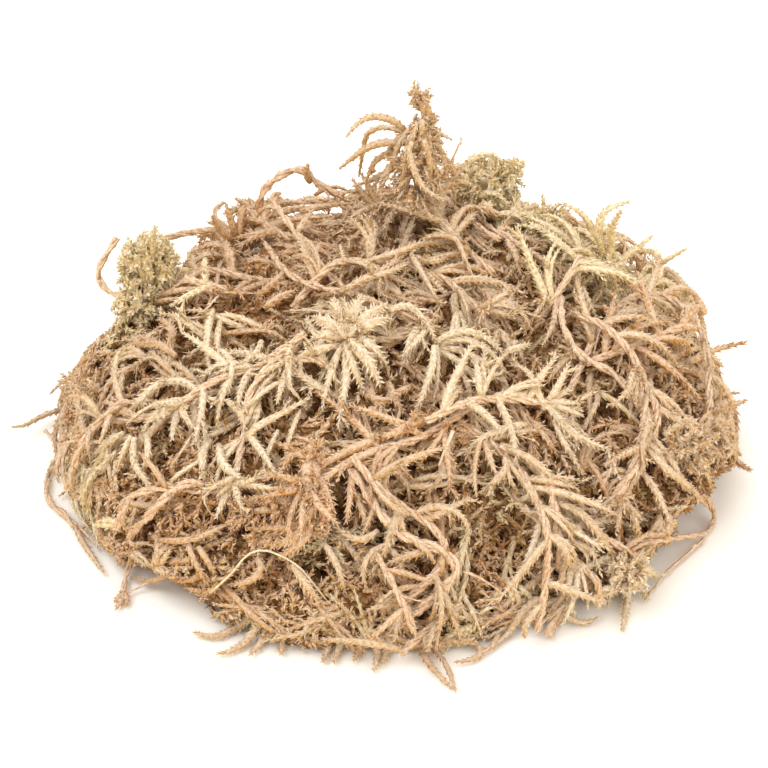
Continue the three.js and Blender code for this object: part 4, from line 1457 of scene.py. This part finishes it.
# %% Strands that stand up from the heap
# each: kind, thickness, how far back it stands in mm, then points as place in the view
STANDING = {
    "crown_spike": """
    feathery 1.3 17 430,140 431,122 425,102 419,91 411,91
    slim 1.5 17 428,168 430,148 429,128 424,108
    feathery 1.1 15 426,122 430,150 440,182
    feathery 1.1 13 422,120 422,150 416,186
    feathery 1.1 14 418,122 408,150 400,184
    slim 1.1 16 414,124 400,142 388,176
    slim 1.1 16 410,130 396,140 384,158
    slim 1.1 17 430,126 440,150 448,176
    slim 1.1 11 412,142 404,168 406,200
    slim 1.1 11 424,140 430,170 424,202
    pressed 1.4 10 408,146 414,170 426,190 444,200
    feathery 1.1 17 440,152 448,164 458,182
    feathery 1.1 16 398,158 386,174 378,192
    slim 1.1 18 400,150 376,160 366,182
    slim 1.1 17 396,166 376,178 354,186
    slim 1.25 17 406,131 390,119 370,117 356,125 347,136
    pressed 1.2 19 404,133 384,127 368,133 363,150 359,176
    slim 1.3 16 402,143 380,143 362,151 350,160 340,168
    slim 0.9 18 426,136 438,133 452,140
    wiry 1.6 17 444,176 454,156 462,138
    """,
    "crown_side_head": """
    feathery 1.3 34 462,172 474,158 490,155 500,164
    feathery 1.3 32 460,180 476,168 494,168 508,178
    feathery 1.2 33 500,192 508,180 513,168 514,159
    feathery 1.2 30 466,190 484,180 502,184 512,196
    feathery 1.2 36 480,176 492,162 506,172 516,186
    feathery 1.2 26 478,198 492,192 506,202
    feathery 1.2 24 526,222 530,210 538,206
    feathery 1.2 23 536,226 540,212 550,206
    feathery 1.2 22 544,230 552,216 562,212
    feathery 1.2 20 530,234 544,226 558,228
    feathery 1.2 18 540,244 552,238 566,240
    """,
    "left_loop": """
    rope 1.15 26 256,232 258,212 262,194 274,180 290,171 304,170 313,180 328,190 344,196
    rope 0.7 28 232,240 222,226 214,212 224,202
    slim 1.2 26 310,182 306,172 308,165
    feathery 1.2 26 264,218 290,210 318,207
    slim 1.2 25 300,212 324,206 350,204
    feathery 1.2 22 256,230 290,220 330,216
    """,
    "left_tuft": """
    feathery 1.2 8 146,292 138,266 130,244
    feathery 1.2 8 148,292 144,262 141,236
    feathery 1.2 7 150,292 152,262 152,235
    feathery 1.2 8 152,292 160,264 165,237
    feathery 1.2 8 153,292 166,270 173,250
    feathery 1.2 9 154,293 170,280 179,268
    feathery 1.2 9 145,293 128,272 119,258
    feathery 1.2 4 148,290 142,272 136,256
    feathery 1.2 3 150,290 150,270 146,250
    feathery 1.2 4 152,290 158,272 160,252
    feathery 1.2 5 153,291 166,278 172,262
    feathery 1.3 2 150,296 136,294 120,298 112,310
    feathery 1.3 2 150,298 138,304 126,318 116,326
    feathery 1.3 2 152,299 146,312 138,326
    rope 0.9 6 136,297 116,295 103,286 98,271 107,254 117,238
    wiry 1.6 4 118,318 112,328 110,338
    """,
    "grass_tuft": """
    slim 1.3 10 601,262 598,240 584,216 565,204
    slim 1.5 8 602,264 598,236 604,212 628,202
    feathery 1.5 7 606,268 611,244 612,228 621,211
    feathery 1.2 9 614,266 628,254 640,246 652,236
    wiry 1.6 12 640,272 644,262 646,250
    pressed 1.1 14 656,268 666,260 686,249
    slim 1.1 8 598,246 584,230 568,232 562,242
    slim 1.1 4 596,262 584,250 568,252 560,264
    feathery 1.3 3 604,262 606,278 600,292
    feathery 1.3 3 610,264 620,274 626,288
    feathery 1.2 6 604,258 600,242 592,232
    """,
    "west_rise": """
    feathery 1.2 20 236,236 230,218 226,204
    feathery 1.2 20 240,238 240,220 246,206
    feathery 1.2 18 232,240 220,230 212,216
    feathery 1.2 16 228,248 212,244 198,250
    feathery 1.2 14 222,256 204,256 190,266
    """,
}
print("strands that stand up:", sum(len(read_strands(text)) for text in STANDING.values()))


# %% Plump heads and shaggy stems
FLUFF_SHADE = 0.1  # how brown the sprigs are
BODY_SHARE = 0.35  # the body's share of the whole thickness


def lay_fluff(piece, line, radii, count, size, chance):
    """Sprigs that stand out all round a line and curl."""
    lay_twig(piece, "body", line, max(radii) * BODY_SHARE, FLUFF_SHADE + 0.4, 0.0, True)
    _, first, second = cross_ways(line)
    for n in range(count):
        place = chance.uniform(0, len(line) - 1.001)
        i = int(place)
        along = unit(line[i + 1] - line[i])
        share = place / (len(line) - 1)
        reach = np.interp(share, np.linspace(0, 1, len(radii)), radii)
        angle = n * GOLDEN_ANGLE
        side = first[i] * math.cos(angle) + second[i] * math.sin(angle)
        out = unit(side + along * (2 * share - 1) * 0.9)
        root = line[i] + (line[i + 1] - line[i]) * (place - i) + out * reach * 0.3
        length = max(2.5, reach * chance.uniform(0.7, 1.0))
        curve = twig_curve(root, out, chance.normal(size=3), chance.uniform(0.2, 1.3), length)
        shade = FLUFF_SHADE + chance.uniform(-0.2, 0.3)
        lay_twig(piece, "sprig", curve, size, shade, chance.uniform(0, 6), True)


FIBRE = read_places("""
    210,593,4 231,574,6 246,556,8 262,550,9 279,555,9 298,566,8 313,583,6 330,605,3
""")
# each: how its ends are given, the two ends, radii along it in mm, how many twigs, their width
FLUFFY = {
    "left_tuft": [
        (standing, (130, 262, 7), (165, 269, 7), (2.0, 5.8, 7.0, 6.2, 2.6), 140, 1.3),
        (standing, (128, 300, 3), (150, 306, 1), (2.5, 4.5, 5.0, 3.5), 60, 1.3),
    ],
    "crown_spike": [
        (standing, (412, 93, 17), (421, 97, 17), (1.2, 1.4), 9, 0.8),
        (standing, (420, 97, 17), (427, 128, 17), (1.3, 1.7, 2.4), 26, 0.9),
        (standing, (425, 124, 16), (416, 186, 12), (2.4, 4.0, 5.5, 7.0), 110, 1.05),
    ],
    "crown_side_head": [
        (standing, (462, 184, 30), (504, 182, 30), (3.5, 5.2, 5.4, 4.0), 80, 1.3),
        (standing, (512, 186, 31), (514, 163, 31), (3.0, 2.2, 1.4), 24, 1.1),
        (standing, (526, 226, 22), (552, 224, 20), (3.5, 5.2, 4.0), 60, 1.3),
    ],
    "grass_tuft": [(standing, (596, 268, 5), (614, 262, 5), (2.6, 3.4, 2.6), 30, 1.1)],
    "right_arc": [(standing, (672, 450, -38), (698, 446, -36), (3.6, 5.4, 4.2), 80, 1.25)],
    "right_foot_head": [(standing, (618, 574, -62), (640, 571, -61), (2.6, 4.0, 2.8), 50, 1.1)],
    "russet_branch": [
        (seen, (314, 452, 9), (318, 500, 9), (2.8, 3.0, 3.4), 54, 1.0),
        (seen, (318, 502, 9), (240, 514, 7), (3.6, 4.0, 3.6, 2.4), 100, 1.0),
        (seen, (318, 524, 8), (258, 538, 6), (2.8, 3.4, 2.4), 64, 1.0),
    ],
    "left_reach": [(seen, (70, 384, 2), (104, 398, 4), (2.4, 4.4, 4.0), 50, 1.1)],
}
print("plump heads and stems:", sum(len(parts) for parts in FLUFFY.values()))


# %% Lay the drawn strands
DRIFT = 1.8  # mm; how much further back or forward a standing strand comes from point to point


def lay_drawn(piece, name, chance):
    """Lays the strands that were drawn for a plant, both the lying and the standing ones."""
    drawn = []
    for kind, thick, *points in read_strands(LYING.get(name, "")):
        drawn.append((kind, thick, [seen(*point) for point in points]))
    for n, (kind, thick, depth, *points) in enumerate(read_strands(STANDING.get(name, ""))):
        drift = DRIFT * math.sin(n * GOLDEN_ANGLE)
        spots = [standing(*point, depth + drift * k) for k, point in enumerate(points)]
        drawn.append((kind, thick, spots))
    for kind, thick, points in drawn:
        line = smooth_line(points, 1.5)
        line[:, 2] = np.maximum(line[:, 2], LOWEST_TWIG)
        if kind == "rope":
            lay_rope(piece, line, 2, 0.42 * thick, chance.uniform(0, 0.3), thick * 0.9)
        else:
            shade = chance.uniform(-0.1, 0.4)
            lay_twig(piece, kind, line, 0.88 * thick, shade, chance.uniform(0, 6), True)
    for at, start, end, radii, count, size in FLUFFY.get(name, []):
        lay_fluff(piece, np.linspace(at(*start), at(*end), 8), radii, count, size, chance)
    return len(drawn)


# %% Dress them all
FULLY_DRAWN = 8  # a plant with this many drawn strands needs no other head
for index, (name, (kind_name, tone, stem, twigs)) in enumerate(laid_plants.items()):
    piece = f"{name}_plant"
    chance = np.random.default_rng(500 + index)
    if kind_name == "fibre":
        line = smooth_line([seen(*point) for point in FIBRE], 1.2)
        lay_twig(piece, "hair", line, 0.8, 0.0, 0.0, True)
        print(piece, "triangles:", build_piece(piece, finishes[tone], tone, name))
        continue
    strands, radius, spacing, count, lengths, head_count, head_lengths = DRESS[kind_name]
    line = smooth_line(stem, 1.6)
    drawn = lay_drawn(piece, name, chance)
    lay_rope(piece, line, strands, radius, 0.25, 0.8, drawn == 0)
    for twig in twigs:
        kind = "pressed" if kind_name == "bare" else ("feathery" if chance.random() < 0.55 else "slim")
        lay_twig(piece, kind, quadratic(twig), 1.1, chance.uniform(0, 0.35), chance.uniform(0, 6))
    lay_bundles(piece, line, spacing, count, lengths, KIND_TWIGS[kind_name], 0.3, chance)
    if drawn < FULLY_DRAWN:
        lay_head(piece, line, head_count, head_lengths, KIND_TWIGS[kind_name][-1:], 0.2, chance)
    made = build_piece(piece, finishes[tone], tone, name)
    print(piece, "drawn strands:", drawn, "triangles:", made)

# %% [markdown]
# ## The inner mound
# Under the plants lies a body of crumbled, packed moss, of which only dark glimpses show. It is a
# ball cut flat, pressed to the mound's shape and roughened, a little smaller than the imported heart.

# %% Make the inner mound
FLOOR_CUT = 0.02  # where the ball is cut, as a share of its radius
FLOOR_EDGE = 0.021  # corners under this make the floor
inner_shape = bmesh.new()
bmesh.ops.create_icosphere(inner_shape, subdivisions=6, radius=1.0)
bmesh.ops.bisect_plane(
    inner_shape, geom=inner_shape.verts[:] + inner_shape.edges[:] + inner_shape.faces[:],
    plane_co=(0, 0, FLOOR_CUT), plane_no=(0, 0, -1), clear_outer=True,
)
rim = [edge for edge in inner_shape.edges if edge.is_boundary]
bmesh.ops.contextual_create(inner_shape, geom=rim)
floor_corners = [corner for corner in inner_shape.verts if corner.co.z < FLOOR_EDGE]
dome_corners = [corner for corner in inner_shape.verts if corner.co.z >= FLOOR_EDGE]
all_corners = dome_corners + floor_corners
rays = unit(np.array([corner.co[:] for corner in all_corners]) * HEART - FOCUS)
reach = ground(rays)[0] - 0.9 + 0.5 * np.random.default_rng(7).normal(size=len(rays))
reach -= 3.0 * np.clip(1 - (FOCUS + rays * reach[:, None])[:, 2] / 6, 0, 1)  # drawn in at its foot
for corner, place in zip(all_corners, FOCUS + rays * reach[:, None]):
    corner.co = Vector(place * 0.001)
for corner in floor_corners:
    corner.co.z = 0.0
for corner in inner_shape.verts:
    corner.co.z = max(corner.co.z, 0.0)
inner_mesh = bpy.data.meshes.new("inner_mound")
inner_shape.to_mesh(inner_mesh)
inner_shape.free()
inner_mesh.materials.append(crumbs)
inner_mound = bpy.data.objects.new("inner_mound", inner_mesh)
bpy.context.scene.collection.objects.link(inner_mound)
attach(inner_mound, "root")
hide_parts("matted_heart")
print("inner mound faces:", len(inner_mesh.polygons))

# %% [markdown]
# ## The tangle
# Most of what shows is a tangle of plants with no place of their own. The shoots of the mat come
# first, each as two twigs side by side. Then thousands of sprigs cover the cushions, and whole plants
# are strewn evenly over the mound, along curved courses. Their tone depends on where they lie: a few
# rusty, brown and greenish places, and straw and cream elsewhere, as chance sorts dried moss.

# %% Tones by place
PLACES = [
    # where it shows in the view, how wide, and the tone
    (285, 500, 45, "russet"), (600, 450, 40, "russet"), (665, 350, 30, "tan"), (722, 420, 30, "tan"),
    (95, 400, 40, "tan"), (180, 490, 40, "russet"), (270, 250, 38, "russet"), (330, 220, 40, "tan"),
    (150, 270, 34, "olive"), (480, 175, 36, "olive"), (540, 218, 26, "olive"), (592, 240, 40, "olive"),
    (480, 520, 45, "olive"), (400, 300, 45, "straw"), (350, 330, 36, "cream"), (470, 345, 50, "cream"),
    (550, 400, 32, "cream"), (220, 380, 42, "cream"), (230, 455, 38, "cream"), (130, 445, 34, "cream"),
    (690, 440, 30, "straw"), (620, 570, 38, "cream"), (520, 610, 32, "tan"), (380, 620, 50, "straw"),
    (250, 600, 40, "tan"), (425, 395, 32, "tan"), (330, 430, 40, "straw"), (440, 230, 40, "straw"),
]


def tone_at(place, chance):
    x, y = in_view(np.asarray(place, float)[None, :])
    for across, down, wide, tone in PLACES:
        if chance.random() < 0.8 * math.exp(-((x[0] - across) ** 2 + (y[0] - down) ** 2) / wide**2):
            return tone
    return chance.choice(["straw", "cream", "tan", "olive", "russet"], p=[0.34, 0.18, 0.33, 0.1, 0.05])


TANGLE_HEIGHT = 5.0  # how high over the mound the tangle's twigs may arch


def tangle_piece(tone, place):
    """The tangle is split by tone and into a front and a back half, so that no piece is too heavy."""
    return f"tangle_{tone}_{'front' if place[1] < 0 else 'back'}"


# %% The mat's shoots
mat_chance = np.random.default_rng(77)
for shoot in mat_shoots:
    line = quadratic(shoot)
    line[:, 2] = np.maximum(line[:, 2], LOWEST_TWIG)
    tone = tone_at(shoot[1], mat_chance)
    for n in range(2):
        kind = ("feathery", "slim", "pressed")[mat_chance.integers(3)]
        twig = wound(line, 1.0, n * math.pi + mat_chance.uniform(0, 3), 26.0)
        shade = mat_chance.uniform(0.1, 0.9)
        lay_twig(tangle_piece(tone, shoot[1]), kind, twig, 1.1, shade, mat_chance.uniform(0, 6))
print("mat twigs:", {piece: len(twigs) for piece, twigs in LAID.items() if piece.startswith("tangle")})


# %% The cushions' sprigs
SPRIGS = 5250
ROOTED = 0.7  # how deep a sprig starts in the ground
sprig_chance = np.random.default_rng(5)
cushion_tones = [tone_at(middle, sprig_chance) for middle in cushion_middles]
cushion_shades = sprig_chance.uniform(-0.3, 0.5, CUSHIONS)
for n in range(SPRIGS):
    turn = n * GOLDEN_ANGLE + sprig_chance.uniform(-0.1, 0.1)
    ray = unit(dome_spot((n + 0.5) / SPRIGS, 0.92, turn) - FOCUS)
    reach, cushion = ground(ray)
    root = FOCUS + ray * (float(reach) - ROOTED)
    if root[2] < ROOTED:
        continue
    outward = unit(root - cushion_middles[cushion])
    way = unit(outward * 0.7 + sprig_chance.normal(size=3) * 0.6 + ray * sprig_chance.uniform(0.1, 1.3))
    toward = sprig_chance.normal(size=3) - ray * 0.8
    bend = sprig_chance.uniform(0.6, 2.4)
    curve = twig_curve(root, way, toward, bend, sprig_chance.uniform(3.5, 7.5), TANGLE_HEIGHT)
    piece = tangle_piece(cushion_tones[cushion], root)
    lay_loose(piece, "sprig", curve, (0.85, 1.25), cushion_shades[cushion], (-0.2, 0.3), sprig_chance)
print("sprigs:", SPRIGS)


# %% Strewn plants
def course(start, heading, length, lifts, curl, chance):
    """A curved line over the mound. The lifts are its heights at its start, middle and end."""
    ray = unit(start)
    way = unit(np.cross(ray, [0.2, 0.1, 1.0]))
    way = way * math.cos(heading) + np.cross(ray, way) * math.sin(heading)
    steps = max(5, round(length / 3))
    points = []
    for k in range(steps + 1):
        share = k / steps
        lift = np.interp(share, [0, 0.5, 1], lifts)
        point = FOCUS + ray * (heart_reach(ray) + lift)
        points.append([*point[:2], max(point[2], 1.5)])
        way = unit(way - ray * (way @ ray))
        if point[2] < 12 and way[2] < 0:
            level = unit(np.array([-ray[1], ray[0], 0.0]))
            way = unit(way + level * math.copysign(0.5, way @ level))
        angle = (curl + chance.uniform(-0.5, 0.5)) * length / steps / 14
        way = way * math.cos(angle) + np.cross(ray, way) * math.sin(angle)
        ray = unit(FOCUS + ray * heart_reach(ray) + way * (length / steps) - FOCUS)
    return np.array(points)


STREWN = 32
strewn_chance = np.random.default_rng(2024)
for n in range(STREWN):
    spot = dome_spot((n + 0.5) / STREWN, 1.15, n * GOLDEN_ANGLE + 1.1)
    length = strewn_chance.uniform(22, 50)
    lifts = (0.5, strewn_chance.uniform(1.5, 4.5), strewn_chance.uniform(2.0, 5.5))
    heading = strewn_chance.uniform(0, 6.28)
    line = course(spot - FOCUS, heading, length, lifts, strewn_chance.normal() * 0.9, strewn_chance)
    tone = tone_at(line[len(line) // 2], strewn_chance)
    piece = tangle_piece(tone, line[len(line) // 2])
    shade = strewn_chance.uniform(0.0, 0.7)
    smooth = smooth_line(line, 1.8)
    if n % 8 == 0:
        lay_rope(piece, smooth, 2, 0.5, shade, 0.85)
    else:
        lay_twig(piece, "slim", smooth, 1.0, shade)
    kinds = ("slim", "feathery", "slim", "pressed")
    lay_bundles(piece, smooth, 9.0, 3, (9, 17), kinds, shade, strewn_chance, TANGLE_HEIGHT)
    lay_head(piece, smooth, 8, (6, 11), ("feathery", "slim"), shade, strewn_chance, TANGLE_HEIGHT)

for piece in sorted(name for name in LAID if name.startswith("tangle_")):
    tone = piece.split("_")[1]
    made = build_piece(piece, finishes[tone], tone, "matted_heart")
    print(piece, "twigs:", len(LAID[piece]), "triangles:", made)
